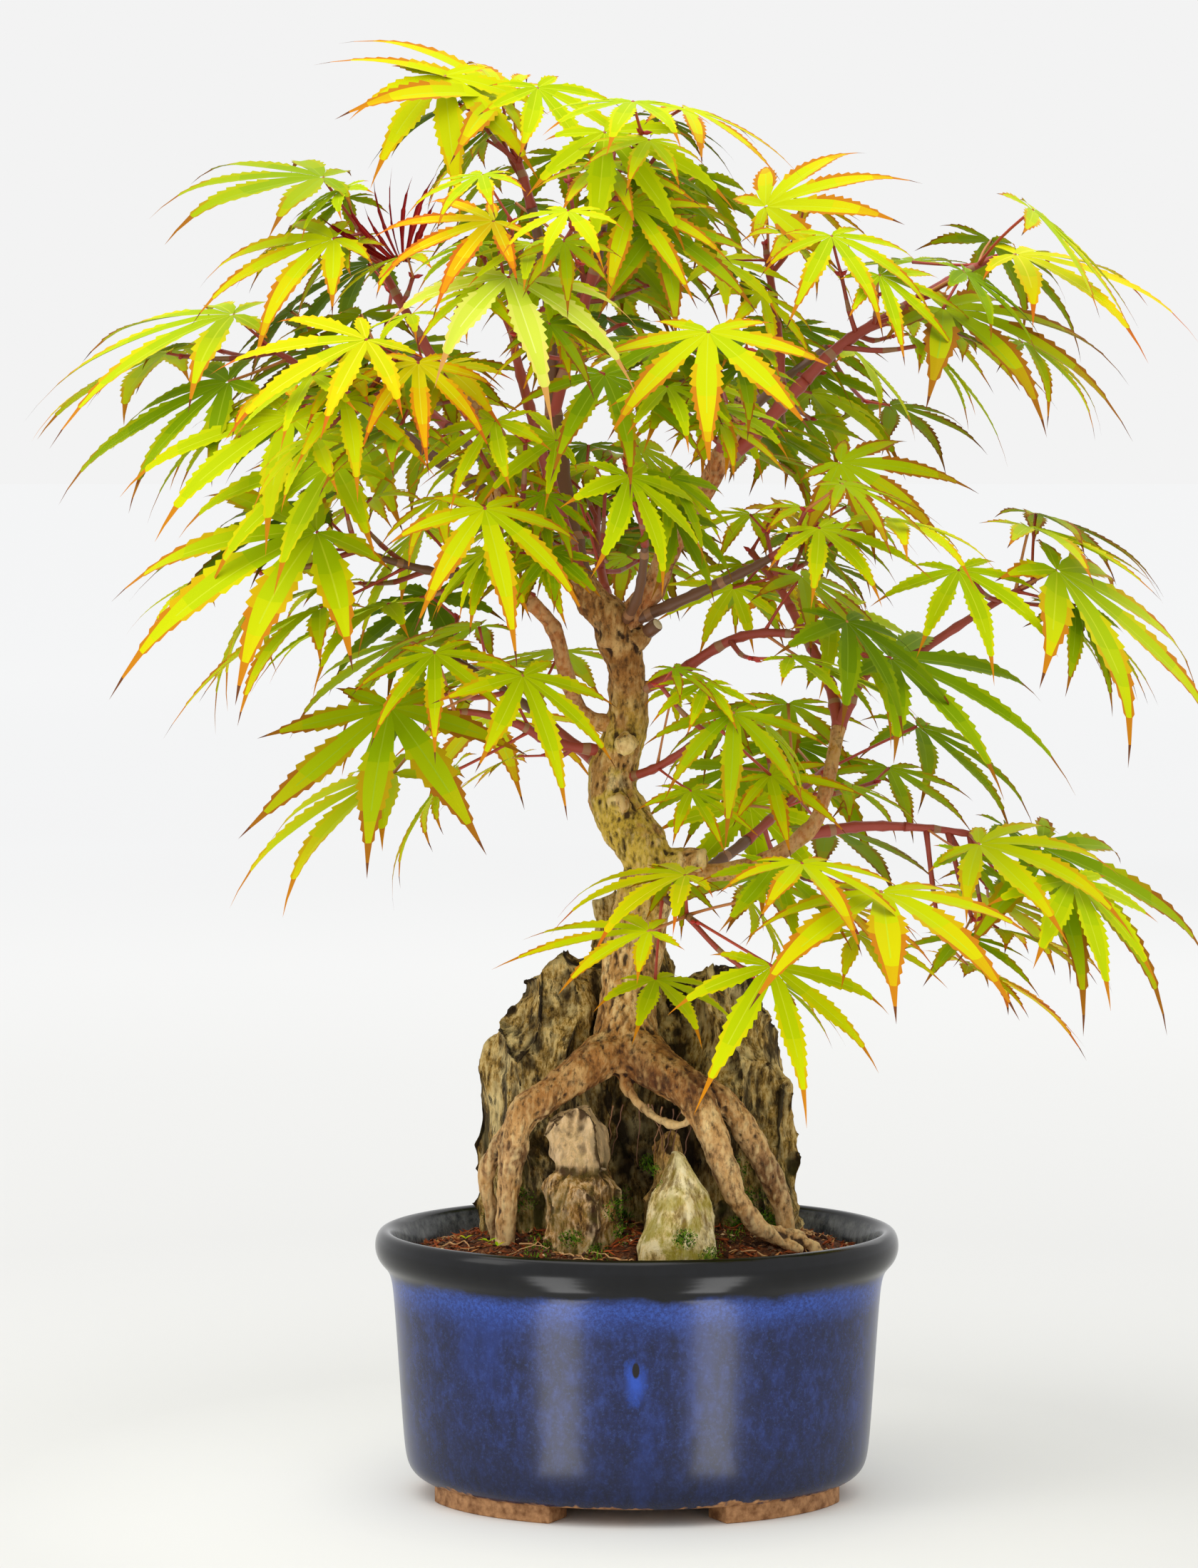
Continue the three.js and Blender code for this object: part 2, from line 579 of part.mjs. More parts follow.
// Flat planes part the masses' spaces: a point is in the space of the mass with the least reach.
// The middles and allowances are nudged until each space holds its own points as nearly as it can.
function settleSpaces() {
  const masses = Object.values(MASSES);
  for (const mass of masses) {
    mass.held = heldPoints(mass);
    mass.middle = meanOf(mass.held);
    mass.allowance = 0;
  }
  for (let round = 0; round < SETTLE_ROUNDS; round++) {
    const rate = 0.02 * (1 - round / SETTLE_ROUNDS);
    for (const mass of masses) {
      for (const point of mass.held) {
        for (const other of masses) {
          if (other === mass || reachOf(point, mass) + SETTLE_MARGIN < reachOf(point, other)) continue;
          const pull = point.clone().sub(mass.middle).multiplyScalar(rate);
          const push = point.clone().sub(other.middle).multiplyScalar(-rate);
          mass.middle.add(pull);
          other.middle.add(push);
          mass.allowance += 600 * rate;
          other.allowance -= 600 * rate;
        }
      }
    }
  }
}

settleSpaces();

// How far inside its mass's space a point is, against the nearest of the planes that bound it
function roomAt(point, name) {
  const own = MASSES[name];
  const reach = reachOf(point, own);
  let room = Infinity;
  for (const other of Object.values(MASSES)) {
    if (other === own) continue;
    const slope = 2 * Math.hypot(
      other.middle.x - own.middle.x,
      other.middle.y - own.middle.y,
      (other.middle.z - own.middle.z) * LAYERING * LAYERING,
    );
    room = Math.min(room, (reachOf(point, other) - reach) / slope);
  }
  return room;
}

// Each mass's way, cut in two where it enters the mass's space
function splitWay(name) {
  const { way, thick } = MASSES[name];
  const spans = way.length - 1;
  const points = way.map((point, i) => [...point, THREE.MathUtils.lerp(thick[0], thick[1], i / spans)]);
  const path = limbPath(points, TWIG_STEPS);
  let entry = path.length - 1;
  while (entry > 0 && roomAt(path[entry - 1].at, name) > 2) entry--;
  entry = Math.min(entry, path.length - 4);
  if (entry < SHORTEST_BOUGH) return { bough: null, stem: path };
  return { bough: path.slice(0, entry + 1), stem: path.slice(entry) };
}

const WAYS = Object.fromEntries(Object.keys(MASSES).map((name) => [name, splitWay(name)]));

const trunkPath = limbPath(TRUNK, LIMB_STEPS);
const limbPaths = Object.fromEntries(
  Object.entries(LIMBS).map(([name, points]) => [name, limbPath(points, LIMB_STEPS)]),
);
for (const [name, { bough }] of Object.entries(WAYS)) {
  if (bough) limbPaths[`bough_${name}`] = bough;
}

// What leaves and twigs keep clear of: all limbs, the other masses' stems, and the rock
const OBSTACLES = [
  ...stretchesOf(trunkPath, 'trunk'),
  ...stretchesOf(limbPath(TRUNK_KNOB, 1), 'trunk'),
  ...Object.entries(limbPaths).flatMap(([name, path]) => stretchesOf(path, name)),
  ...Object.entries(WAYS).flatMap(([name, { stem }]) => stretchesOf(stem, name)),
  { a: new THREE.Vector3(-18, 12, 80), b: new THREE.Vector3(-18, 12, 128), radius: 34, owner: 'rock_main' },
  { a: new THREE.Vector3(22, 12, 80), b: new THREE.Vector3(22, 12, 126), radius: 30, owner: 'rock_main' },
];

// Six times the volume between four points, whose sign tells which side d is on
function sideOf(a, b, c, d) {
  const [x1, y1, z1] = [b.x - a.x, b.y - a.y, b.z - a.z];
  const [x2, y2, z2] = [c.x - a.x, c.y - a.y, c.z - a.z];
  const [x3, y3, z3] = [d.x - a.x, d.y - a.y, d.z - a.z];
  return x1 * (y2 * z3 - z2 * y3) - y1 * (x2 * z3 - z2 * x3) + z1 * (x2 * y3 - y2 * x3);
}

// Whether the stretch from a to b goes through the triangle
function pierces(a, b, corner, next, after) {
  if (sideOf(corner, next, after, a) > 0 === sideOf(corner, next, after, b) > 0) return false;
  const first = sideOf(a, b, corner, next) > 0;
  return first === sideOf(a, b, next, after) > 0 && first === sideOf(a, b, after, corner) > 0;
}

// Whether an edge or rib of one leaf goes through the other
function oneWayCross(leaf, outline, otherLeaf, otherOutline) {
  return outline.some((point, i) => {
    const next = outline[(i + 1) % outline.length];
    return otherOutline.some((corner, k) => {
      const after = otherOutline[(k + 1) % otherOutline.length];
      return pierces(point, next, otherLeaf.hub, corner, after)
        || pierces(leaf.hub, point, otherLeaf.hub, corner, after);
    });
  });
}

// Whether a leaf's stalk goes through a leaf, its own included
function stalkPierces(leaf, other, otherOutline) {
  return otherOutline.slice(1).some((point, i) =>
    pierces(leaf.from, leaf.hub, other.hub, otherOutline[i], point));
}

function leavesCross(leaf, other) {
  const outline = leafOutline(leaf);
  const otherOutline = leafOutline(other);
  return stalkPierces(leaf, other, otherOutline) || stalkPierces(other, leaf, outline)
    || oneWayCross(leaf, outline, other, otherOutline) || oneWayCross(other, otherOutline, leaf, outline);
}

function leafFits(leaf, name, obstacles) {
  const outline = leafOutline(leaf);
  if (roomAt(leaf.hub, name) < 1.4) return false;
  if (outline.some((point) => roomAt(point, name) < 0.4)) return false;
  for (const { a, b, radius } of obstacles) {
    if (outline.some((point) => distanceToStretch(point, a, b) < radius + 0.8)) return false;
    if (distanceToStretch(leaf.hub, a, b) < radius + 2) return false;
    if (outline.some((point, i) => pierces(a, b, leaf.hub, point, outline[(i + 1) % outline.length]))) {
      return false;
    }
  }
  return true;
}

// The stalk has to miss every limb but its own stem, and its own leaf
function stalkFits({ from, hub, heading, normal }, name, obstacles) {
  const toFoot = from.clone().sub(hub).normalize();
  if (toFoot.dot(heading) > 0.2 || Math.abs(toFoot.dot(normal)) < 0.05) return false;
  return obstacles.every(({ a, b, radius, owner }) => {
    if (owner === name) return true;
    return [0.25, 0.5, 0.75, 1].every((share) =>
      distanceToStretch(from.clone().lerp(hub, share), a, b) > radius + 1);
  });
}

// The rule: the lead leaves on the stem's end, then opposite pairs back along it, each pair turned
// on from the last; a leaf that doesn't fit is tried again, turned, and smaller, then skipped
function growMass(name) {
  const mass = MASSES[name];
  const { stem } = WAYS[name];
  const random = randomFrom(mass.seed);
  const last = stem.length - 1;
  const leaves = [];
  const spaced = (hub, length) => leaves.every((leaf) => leaf.hub.distanceTo(hub) > 0.28 * length);
  const clear = (leaf) => leaves.every((other) => !leavesCross(leaf, other));

  mass.leads.forEach(([x, y, z, heading, pitch, turn, length]) => {
    for (let attempt = 0; attempt < TRIES; attempt++) {
      const size = 1 - ((1 - SMALLEST) * attempt) / (TRIES - 1);
      const loose = attempt === 0 ? 0 : 1;
      const hub = vector([x, y, z]);
      hub.y += loose * (random() - 0.5) * 14;
      hub.z += loose * (random() - 0.5) * 8;
      const bend = loose * (random() - 0.5) * 30;
      const dip = loose * (random() - 0.5) * 24;
      const leaf = leafAt(hub, heading + bend, pitch + dip, turn, FRONT, length * size);
      if (!leafFits(leaf, name, OBSTACLES)) continue;
      for (let node = last - 1; node > 0; node--) {
        const stalked = { ...leaf, from: stem[node].at, lead: true };
        if (!stalkFits(stalked, name, OBSTACLES) || !clear(stalked)) continue;
        leaves.push(stalked);
        return;
      }
    }
  });

  for (let pair = 0; pair < mass.pairs; pair++) {
    const share = 1 - (pair + 0.35) / (mass.pairs + 0.2);
    const node = stem[Math.max(1, Math.round(share * last))];
    const tangent = stem[last].at.clone().sub(stem[0].at).normalize();
    const level = new THREE.Vector3(0, 0, 1).cross(tangent).normalize();
    const rise = tangent.clone().cross(level);
    for (const hand of [1, -1]) {
      const turned = radians(pair * 80 + (random() - 0.5) * 60);
      const out = level.clone().multiplyScalar(hand * Math.cos(turned))
        .addScaledVector(rise, hand * Math.sin(turned));
      for (let attempt = 0; attempt < TRIES; attempt++) {
        const size = 1 - ((1 - SMALLEST) * attempt) / (TRIES - 1);
        const lean = 0.2 + 0.9 * random();
        const reach = (15 + 20 * random()) * size;
        const direction = out.clone().addScaledVector(tangent, lean);
        direction.z += 0.25;
        const hub = node.at.clone().addScaledVector(direction.normalize(), reach);
        const away = new THREE.Vector3(hub.x + 4, hub.y, 0).normalize();
        const heading = THREE.MathUtils.radToDeg(Math.atan2(
          direction.y + 0.7 * away.y, direction.x + 0.7 * away.x,
        )) + (random() - 0.5) * 70;
        const pitch = 12 + 38 * random();
        const turn = 5 + 21 * random();
        const length = mass.leaf * size * (0.86 + 0.28 * random());
        const leaf = { ...leafAt(hub, heading, pitch, turn, away, length), from: node.at, lead: false };
        if (!spaced(hub, length) || !leafFits(leaf, name, OBSTACLES)) continue;
        if (!stalkFits(leaf, name, OBSTACLES) || !clear(leaf)) continue;
        leaves.push(leaf);
        break;
      }
    }
  }
  return leaves;
}

function massSolid(name, leaves, keepOut) {
  const { bough, stem } = WAYS[name];
  const start = bough ? stem[0].at.clone().lerp(stem[1].at, GAP / stem[0].at.distanceTo(stem[1].at)) : null;
  const path = start ? [{ at: start, radius: stem[0].radius }, ...stem.slice(1)] : stem;
  const whole = Manifold.union([limbSolid(path, TWIG_SIDES), ...leaves.map(leafSolid)]);
  return largestBody(whole.subtract(keepOut).simplify(SMOOTHING));
}

// Assembly

const slots = {};

function material(name, colour, roughness) {
  if (!slots[name]) {
    slots[name] = new THREE.MeshStandardMaterial({
      name, color: colour, roughness, metalness: 0, flatShading: true,
    });
  }
  return slots[name];
}

const tree = new THREE.Group();

function add(name, solid, look) {
  const mesh = solid.getMesh();
  const geometry = new THREE.BufferGeometry();
  const positions = [];
  for (let i = 0; i < mesh.numVert; i++) {
    for (let axis = 0; axis < 3; axis++) positions.push(mesh.vertProperties[i * mesh.numProp + axis]);
  }
  geometry.setAttribute('position', new THREE.Float32BufferAttribute(positions, 3));
  geometry.setIndex(Array.from(mesh.triVerts));
  geometry.computeVertexNormals();
  const piece = new THREE.Mesh(geometry, look);
  piece.name = name;
  tree.add(piece);
}

const bark = material('bark', COLOURS.bark, 0.85);
const rockLook = material('rock', COLOURS.rock, 0.95);
const paleLook = material('pale_stone', COLOURS.pale, 0.9);
const soilLook = material('soil', COLOURS.soil, 0.95);

const trunkLimbs = [
  [trunkPath, TRUNK_SIDES],
  [limbPath(TRUNK_KNOB, 1), KNOB_SIDES],
  ...Object.values(ROOTS).map((points) => [limbPath(points, LIMB_STEPS), ROOT_SIDES]),
];
const trunk = Manifold.union(trunkLimbs.map(([path, sides]) => limbSolid(path, sides)));
const trunkRoom = Manifold.union(trunkLimbs.map(([path, sides]) => limbSolid(path, sides, GAP)));

// Each rock is cut clear of the trunk with its roots, and of the rocks in front of it
const roomOf = (shapes) => Manifold.union(shapes.map((shape) => cragSolid(shape, GAP + 0.1)));
const rocks = [
  ['stone_pale', [STONE_PALE], paleLook],
  ['rock_front', [ROCK_FRONT], rockLook],
  ['rock_middle', [ROCK_MIDDLE], rockLook],
  ['rock_main', ROCK_MAIN, rockLook],
];
let taken = trunkRoom;
for (const [name, shapes, look] of rocks) {
  const rock = Manifold.union(shapes.map((shape) => cragSolid(shape))).subtract(taken);
  add(name, largestBody(rock.simplify(SMOOTHING)), look);
  taken = taken.add(roomOf(shapes));
}

add('pot', potSolid(), material('glaze', COLOURS.glaze, 0.15));
add('soil', largestBody(soilSolid().subtract(taken).simplify(SMOOTHING)), soilLook);
add('trunk', largestBody(trunk.simplify(SMOOTHING)), bark);

// A bough is cut clear of the trunk and of every bough made before it
const limbRooms = [trunkRoom];
for (const [name, path] of Object.entries(limbPaths)) {
  const sides = name in LIMBS ? LIMB_SIDES : TWIG_SIDES;
  const bough = limbSolid(path, sides).subtract(Manifold.union(limbRooms));
  add(name, largestBody(bough.simplify(SMOOTHING)), bark);
  limbRooms.push(limbSolid(path, sides, GAP));
}

for (const name of Object.keys(MASSES)) {
  const others = Object.keys(MASSES).filter((other) => other !== name);
  const otherStems = others.map((other) => limbSolid(WAYS[other].stem, TWIG_SIDES, GAP));
  const keepOut = Manifold.union([...limbRooms, ...otherStems]);
  const colour = LEAF_COLOUR[name] ?? 'lime';
  const look = material(`leaf_${colour}`, COLOURS[colour], 0.7);
  add(`foliage_${name}`, massSolid(name, growMass(name), keepOut), look);
}

// The origin comes under the middle of the whole, on the ground
const bounds = new THREE.Box3().setFromObject(tree);
tree.position.set(-(bounds.min.x + bounds.max.x) / 2, -(bounds.min.y + bounds.max.y) / 2, 0);

const bonsai = new THREE.Group();
bonsai.add(tree);

export default bonsai;
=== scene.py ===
# %% [markdown]
# # A Japanese maple bonsai, grown over a rock
# The construction model already says where everything is: the pot, the rocks, the trunk with its
# roots, the boughs, and a plain solid for each mass of foliage. This notebook keeps every place and
# size and makes what the eye sees: glaze, grit, stone, bark, and leaves in their own outline. Each
# step starts with what the thing is on the real plant, how it could be made, and why this way.

# %% Load the construction model
import math

import bpy
import numpy as np
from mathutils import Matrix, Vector


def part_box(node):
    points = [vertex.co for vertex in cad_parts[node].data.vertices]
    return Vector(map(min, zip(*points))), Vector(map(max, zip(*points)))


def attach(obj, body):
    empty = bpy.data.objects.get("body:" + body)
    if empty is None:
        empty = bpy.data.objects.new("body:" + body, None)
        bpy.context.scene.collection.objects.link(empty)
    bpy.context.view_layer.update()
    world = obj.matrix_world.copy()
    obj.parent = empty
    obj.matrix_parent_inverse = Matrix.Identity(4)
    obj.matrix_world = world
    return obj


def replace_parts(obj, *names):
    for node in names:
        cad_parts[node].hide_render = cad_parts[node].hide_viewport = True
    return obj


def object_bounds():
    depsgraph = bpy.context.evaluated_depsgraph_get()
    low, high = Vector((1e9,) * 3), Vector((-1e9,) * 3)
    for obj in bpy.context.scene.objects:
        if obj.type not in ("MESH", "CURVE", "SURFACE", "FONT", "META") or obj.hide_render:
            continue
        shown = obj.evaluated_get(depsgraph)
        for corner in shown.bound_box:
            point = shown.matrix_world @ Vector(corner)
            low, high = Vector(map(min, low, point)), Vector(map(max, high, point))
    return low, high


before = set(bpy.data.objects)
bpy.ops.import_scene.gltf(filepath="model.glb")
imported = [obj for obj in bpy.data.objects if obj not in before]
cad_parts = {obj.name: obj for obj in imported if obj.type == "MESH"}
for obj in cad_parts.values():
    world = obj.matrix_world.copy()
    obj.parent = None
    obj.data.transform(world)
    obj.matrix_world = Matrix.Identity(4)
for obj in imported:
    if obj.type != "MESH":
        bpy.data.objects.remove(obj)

solid_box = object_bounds()
print("the solids reach from", list(solid_box[0]), "to", list(solid_box[1]))

# %% [markdown]
# ## Places in millimetres
# The plant was measured from the middle of its pot, in millimetres, with X to the right and Y to
# the back. The model's own origin lies under the middle of the whole, so the pot's box tells how
# far the two are apart. One small function turns a measured point into a place in the scene.

# %% From the pot's middle to the scene
MM = 0.001
pot_low, pot_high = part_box("pot")
AXIS = Vector(((pot_low.x + pot_high.x) / 2, (pot_low.y + pot_high.y) / 2, 0))


def place(x, y, z):
    return AXIS + Vector((x, y, z)) * MM


def to_scene(points):
    return np.asarray(points, float) * MM + np.array(AXIS)


print("pot axis at", list(AXIS))

# %% [markdown]
# ## Camera, floor and light
# The photograph is a catalogue picture: a long lens a little above the pot, white paper, and large
# soft lights. The lens is worked out from how wide the pot's rim is in the picture, so the whole
# plant fills the frame as it does there. The paper is one wide plane under a pale sky. Its colour
# changes slowly with the distance from the plant and carries painted light and painted shade: paler
# close by, where the plant's shadow falls, darker a little farther out, where the lamps are
# brightest, and paler again far off, so that the paper and the sky meet without a line. Eight small
# lights lie on the paper, in a row on each side in front of the pot. Its wall leans out, so it
# mirrors the floor, and only lights down there draw the two soft streaks of the glaze.

# %% Camera
PICTURE_HEIGHT = 2199
RIM_PIXELS = 736
POT_WIDTH = 160
PIXEL = POT_WIDTH / RIM_PIXELS
EYE_SIDE, EYE_DISTANCE, EYE_HEIGHT = -11.6, 1500, 325
AIM = place(EYE_SIDE, 0, 218.3)
SENSOR_HEIGHT = 36
FARTHEST_SEEN = 50

camera_data = bpy.data.cameras.new("camera")
camera = bpy.data.objects.new("camera", camera_data)
bpy.context.collection.objects.link(camera)
camera.location = place(EYE_SIDE, -EYE_DISTANCE, EYE_HEIGHT)
camera.rotation_euler = (AIM - camera.location).to_track_quat("-Z", "Y").to_euler()
camera_data.sensor_fit = "VERTICAL"
camera_data.sensor_height = SENSOR_HEIGHT
aim_distance = (AIM - camera.location).length / MM
camera_data.lens = SENSOR_HEIGHT * aim_distance / (PICTURE_HEIGHT * PIXEL)
camera_data.clip_end = FARTHEST_SEEN
bpy.context.scene.camera = camera
print("lens", round(camera_data.lens, 1), "mm")

# %% [markdown]
# ## Tools
# The same few steps come back for every piece: pick it, join it, add a modifier and apply it, leave
# it at the origin. Materials repeat themselves too: a noise, a stretch of heights, a mix of two
# colours. Each of these gets a short function here, so that the cells below read as what they do.

# %% Tools for plain modelling
def deselect():
    bpy.ops.object.select_all(action="DESELECT")


def pick(*pieces):
    deselect()
    for piece in pieces:
        piece.select_set(True)
    bpy.context.view_layer.objects.active = pieces[0]


def settle(piece):
    """Leaves the object at the origin, unturned and unscaled, with its place in its mesh."""
    pick(piece)
    bpy.ops.object.transform_apply(location=True, rotation=True, scale=True)


def join(name, pieces):
    pick(*pieces)
    bpy.ops.object.join()
    pieces[0].name = name
    pieces[0].data.name = name
    return pieces[0]


def shape_by(piece, kind, **settings):
    """Adds a modifier, sets it and applies it."""
    pick(piece)
    modifier = piece.modifiers.new(kind.lower(), kind)
    for key, value in settings.items():
        setattr(modifier, key, value)
    bpy.ops.object.modifier_apply(modifier=modifier.name)


def dress(piece, *materials):
    piece.data.materials.clear()
    for material in materials:
        piece.data.materials.append(material)


# %% Tools for materials
def linear(red, green, blue):
    """A colour as a picture shows it, 0 to 255, in the linear values that a shader takes."""
    shares = [value / 255 for value in (red, green, blue)]
    return tuple(s / 12.92 if s <= 0.04045 else ((s + 0.055) / 1.055) ** 2.4 for s in shares) + (1,)


def finish_of(name, colour=(0.5, 0.5, 0.5, 1), roughness=0.5, **sockets):
    """A plain material; further sockets of the shader are given by name."""
    material = bpy.data.materials.new(name)
    material.use_nodes = True
    shader = material.node_tree.nodes["Principled BSDF"]
    shader.inputs["Base Color"].default_value = colour
    shader.inputs["Roughness"].default_value = roughness
    for socket, value in sockets.items():
        shader.inputs[socket.replace("_", " ")].default_value = value
    return material


class Recipe:
    """Adds nodes to a material, each from its kind, its settings and what feeds its sockets."""

    def __init__(self, material):
        self.tree = material.node_tree
        self.shader = self.tree.nodes["Principled BSDF"]
        self.places = self.tree.nodes.new("ShaderNodeTexCoord").outputs["Object"]

    def add(self, kind, feeds, out=0, **settings):
        node = self.tree.nodes.new("ShaderNode" + kind)
        for key, value in settings.items():
            setattr(node, key, value)
        for socket, value in feeds.items():
            if isinstance(value, bpy.types.NodeSocket):
                self.tree.links.new(value, node.inputs[socket])
            else:
                node.inputs[socket].default_value = value
        return node.outputs[out]

    def noise(self, size_mm, detail=4, roughness=0.6, stretch=(1, 1, 1)):
        spread = self.add("Mapping", {"Vector": self.places, "Scale": stretch})
        feeds = {"Vector": spread, "Scale": 1000 / size_mm, "Detail": detail, "Roughness": roughness}
        return self.add("TexNoise", feeds)

    def height(self):
        return self.add("SeparateXYZ", {0: self.places}, out=2)

    def away_from(self, middle, stretch=(1, 1, 1)):
        """How far each point is from a place, with each direction weighed by the stretch."""
        apart = self.add("VectorMath", {0: self.places, 1: tuple(middle)}, operation="SUBTRACT")
        apart = self.add("VectorMath", {0: apart, 1: stretch}, operation="MULTIPLY")
        return self.add("VectorMath", {0: apart}, out=1, operation="LENGTH")

    def ramp(self, value, *stops):
        node = self.tree.nodes.new("ShaderNodeValToRGB")
        self.tree.links.new(value, node.inputs[0])
        band = node.color_ramp
        while len(band.elements) < len(stops):
            band.elements.new(0.5)
        for element, (at, colour) in zip(band.elements, stops):
            element.position = at
            element.color = colour if len(colour) == 4 else (*colour, 1)
        return node.outputs[0]

    def reach(self, value, low, high, start=0.0, end=1.0):
        """Goes from start to end while the value goes from low to high."""
        feeds = {"Value": value, "From Min": low, "From Max": high, "To Min": start, "To Max": end}
        return self.add("MapRange", feeds)

    def level(self, low_mm, high_mm, start=0.0, end=1.0):
        """Goes from start to end while the height goes from low to high."""
        return self.reach(self.height(), low_mm * MM, high_mm * MM, start, end)

    def mix(self, share, one, other, way="MIX"):
        return self.add("MixRGB", {0: share, 1: one, 2: other}, blend_type=way)

    def math(self, way, one, other):
        return self.add("Math", {0: one, 1: other}, operation=way)

    def sum(self, one, other):
        return self.math("ADD", one, other)

    def times(self, one, other):
        return self.math("MULTIPLY", one, other)

    def relief(self):
        return self.add("Attribute", {}, out=2, attribute_name="relief")

    def feed(self, **sockets):
        for socket, value in sockets.items():
            self.tree.links.new(value, self.shader.inputs[socket.replace("_", " ")])

    def bump(self, height, strength, distance_mm):
        feeds = {"Strength": strength, "Distance": distance_mm * MM, "Height": height}
        self.feed(Normal=self.add("Bump", feeds))


# %% Floor
FLOOR_SIZE = 60
FLOOR_FADE = 5
# Painted light and shade on the paper: how bright it is, from the plant out, by metres
FLOOR_PAINTED_SHADES = (
    (0.1, (0.82, 0.82, 0.8)), (0.2, (0.68, 0.68, 0.665)), (0.5, (0.64, 0.64, 0.63)),
    (1, (0.69, 0.69, 0.68)), (1.5, (0.76, 0.76, 0.755)), (2.4, (0.84, 0.84, 0.84)),
    (3.1, (0.86, 0.86, 0.86)), (5, (0.89, 0.89, 0.89)),
)
paper_with_painted_shade = finish_of("paper_with_painted_shade", roughness=0.9, Specular_IOR_Level=0)
r = Recipe(paper_with_painted_shade)
stops = [(distance / FLOOR_FADE, shade) for distance, shade in FLOOR_PAINTED_SHADES]
r.feed(Base_Color=r.ramp(r.reach(r.away_from((0, 0, 0)), 0, FLOOR_FADE), *stops))
deselect()
bpy.ops.mesh.primitive_plane_add(size=FLOOR_SIZE, location=(0, 0, 0))
floor = bpy.context.active_object
floor.name = "floor"
dress(floor, paper_with_painted_shade)
print("floor of", FLOOR_SIZE, "m")

# %% Lights above
def soft_light(name, at, toward, width, height, power, colour=(1, 1, 1)):
    data = bpy.data.lights.new(name, "AREA")
    data.shape = "RECTANGLE"
    data.size = width
    data.size_y = height
    data.energy = power
    data.color = colour
    light = bpy.data.objects.new(name, data)
    bpy.context.collection.objects.link(light)
    light.location = Vector(at)
    light.rotation_euler = (Vector(toward) - light.location).to_track_quat("-Z", "Y").to_euler()
    return light


soft_light("overhead", (-0.25, -0.35, 1.5), (0, 0, 0.25), 1.6, 1.2, 10, (1, 0.98, 0.94))
soft_light("from_left", (-2.6, -1.5, 1.9), (0, 0, 0.25), 1.25, 1.6, 14, (1, 0.98, 0.95))
soft_light("from_behind", (0.5, 1.3, 1.2), (0, 0, 0.3), 1.6, 1.0, 3)

# %% Lights on the paper
STREAK_GLOW = 1.3e-5
STREAK_ASIDE, STREAK_FRONT, STREAK_HEIGHT = 30, 65, 3
STREAK_TURN = math.radians(30)
# Each light: how far out along its row, how wide and how long
STREAKS = ((45, 27, 50), (100, 44, 60), (175, 66, 90), (290, 100, 140))
for hand in (-1, 1):
    for out, wide, long in STREAKS:
        power = STREAK_GLOW * wide * long
        streak = soft_light("streak", (0, 0, 0), (0, 0, 1), wide * MM, long * MM, power)
        aside = STREAK_ASIDE + out * math.sin(STREAK_TURN)
        front = STREAK_FRONT + out * math.cos(STREAK_TURN)
        streak.location = place(hand * aside, -front, STREAK_HEIGHT)
        streak.rotation_euler = (math.pi, 0, hand * STREAK_TURN)
        streak.visible_camera = False

# %% Sky
# The room's light is one value, and what the camera sees behind the plant is another
ROOM_LIGHT = (1.02, 1.025, 1.03, 1)
SEEN_SKY = linear(243, 243, 243)
world = bpy.data.worlds.new("room")
world.use_nodes = True
nodes, links = world.node_tree.nodes, world.node_tree.links
nodes["Background"].inputs[0].default_value = ROOM_LIGHT
seen_sky = nodes.new("ShaderNodeBackground")
seen_sky.inputs[0].default_value = SEEN_SKY
either = nodes.new("ShaderNodeMixShader")
links.new(nodes.new("ShaderNodeLightPath").outputs["Is Camera Ray"], either.inputs[0])
links.new(nodes["Background"].outputs[0], either.inputs[1])
links.new(seen_sky.outputs[0], either.inputs[2])
links.new(either.outputs[0], nodes["World Output"].inputs["Surface"])
bpy.context.scene.world = world
bpy.context.scene.view_settings.view_transform = "Standard"
print("sky of", [round(value, 3) for value in SEEN_SKY[:3]])

# %% [markdown]
# ## The pot
# A thrown oval pot: a wall that leans out a little, a rolled lip, and a base on four feet. A lathe
# shape could be spun, but the oval is easier as a ring that is extruded and scaled step by step up
# the outside, over the lip and down the inside, then squeezed front to back. A subdivision surface
# rounds it, so a sharp turn takes two close rings.

# %% Pot body
POT_OVAL = 0.78
# Half width and height of each ring, from the base up the outside and down the inside
POT_STEPS = [
    (64.0, 5.0), (66.0, 5.2), (69.2, 7.4), (70.8, 10.5), (71.6, 16), (72.6, 30), (73.6, 46), (74.6, 60),
    (75.2, 66), (76.4, 69.6), (78.8, 71.6), (80.4, 74.8), (80.4, 78.6), (79.2, 81.3), (77.2, 82.1),
    (75.2, 81.2), (73.8, 78.6), (72.4, 74.4), (71.2, 66), (70, 40), (67, 16), (61, 11.6), (30, 11.4),
]
POT_RING = 72

deselect()
bpy.ops.mesh.primitive_circle_add(
    vertices=POT_RING, radius=POT_STEPS[0][0] * MM, fill_type="NGON",
    location=place(0, 0, POT_STEPS[0][1]),
)
pot_body = bpy.context.active_object
bpy.ops.object.mode_set(mode="EDIT")
for (half, height), (next_half, next_height) in zip(POT_STEPS, POT_STEPS[1:]):
    rise = (0, 0, (next_height - height) * MM)
    bpy.ops.mesh.extrude_region_move(TRANSFORM_OT_translate={"value": rise})
    grow = next_half / half
    bpy.ops.transform.resize(value=(grow, grow, 1), center_override=place(0, 0, next_height))
bpy.ops.mesh.select_all(action="SELECT")
bpy.ops.transform.resize(value=(1, POT_OVAL, 1), center_override=place(0, 0, 0))
bpy.ops.mesh.normals_make_consistent(inside=False)
bpy.ops.object.mode_set(mode="OBJECT")
settle(pot_body)
shape_by(pot_body, "SUBSURF", levels=2, render_levels=2)
print("pot body of", len(pot_body.data.polygons), "faces")

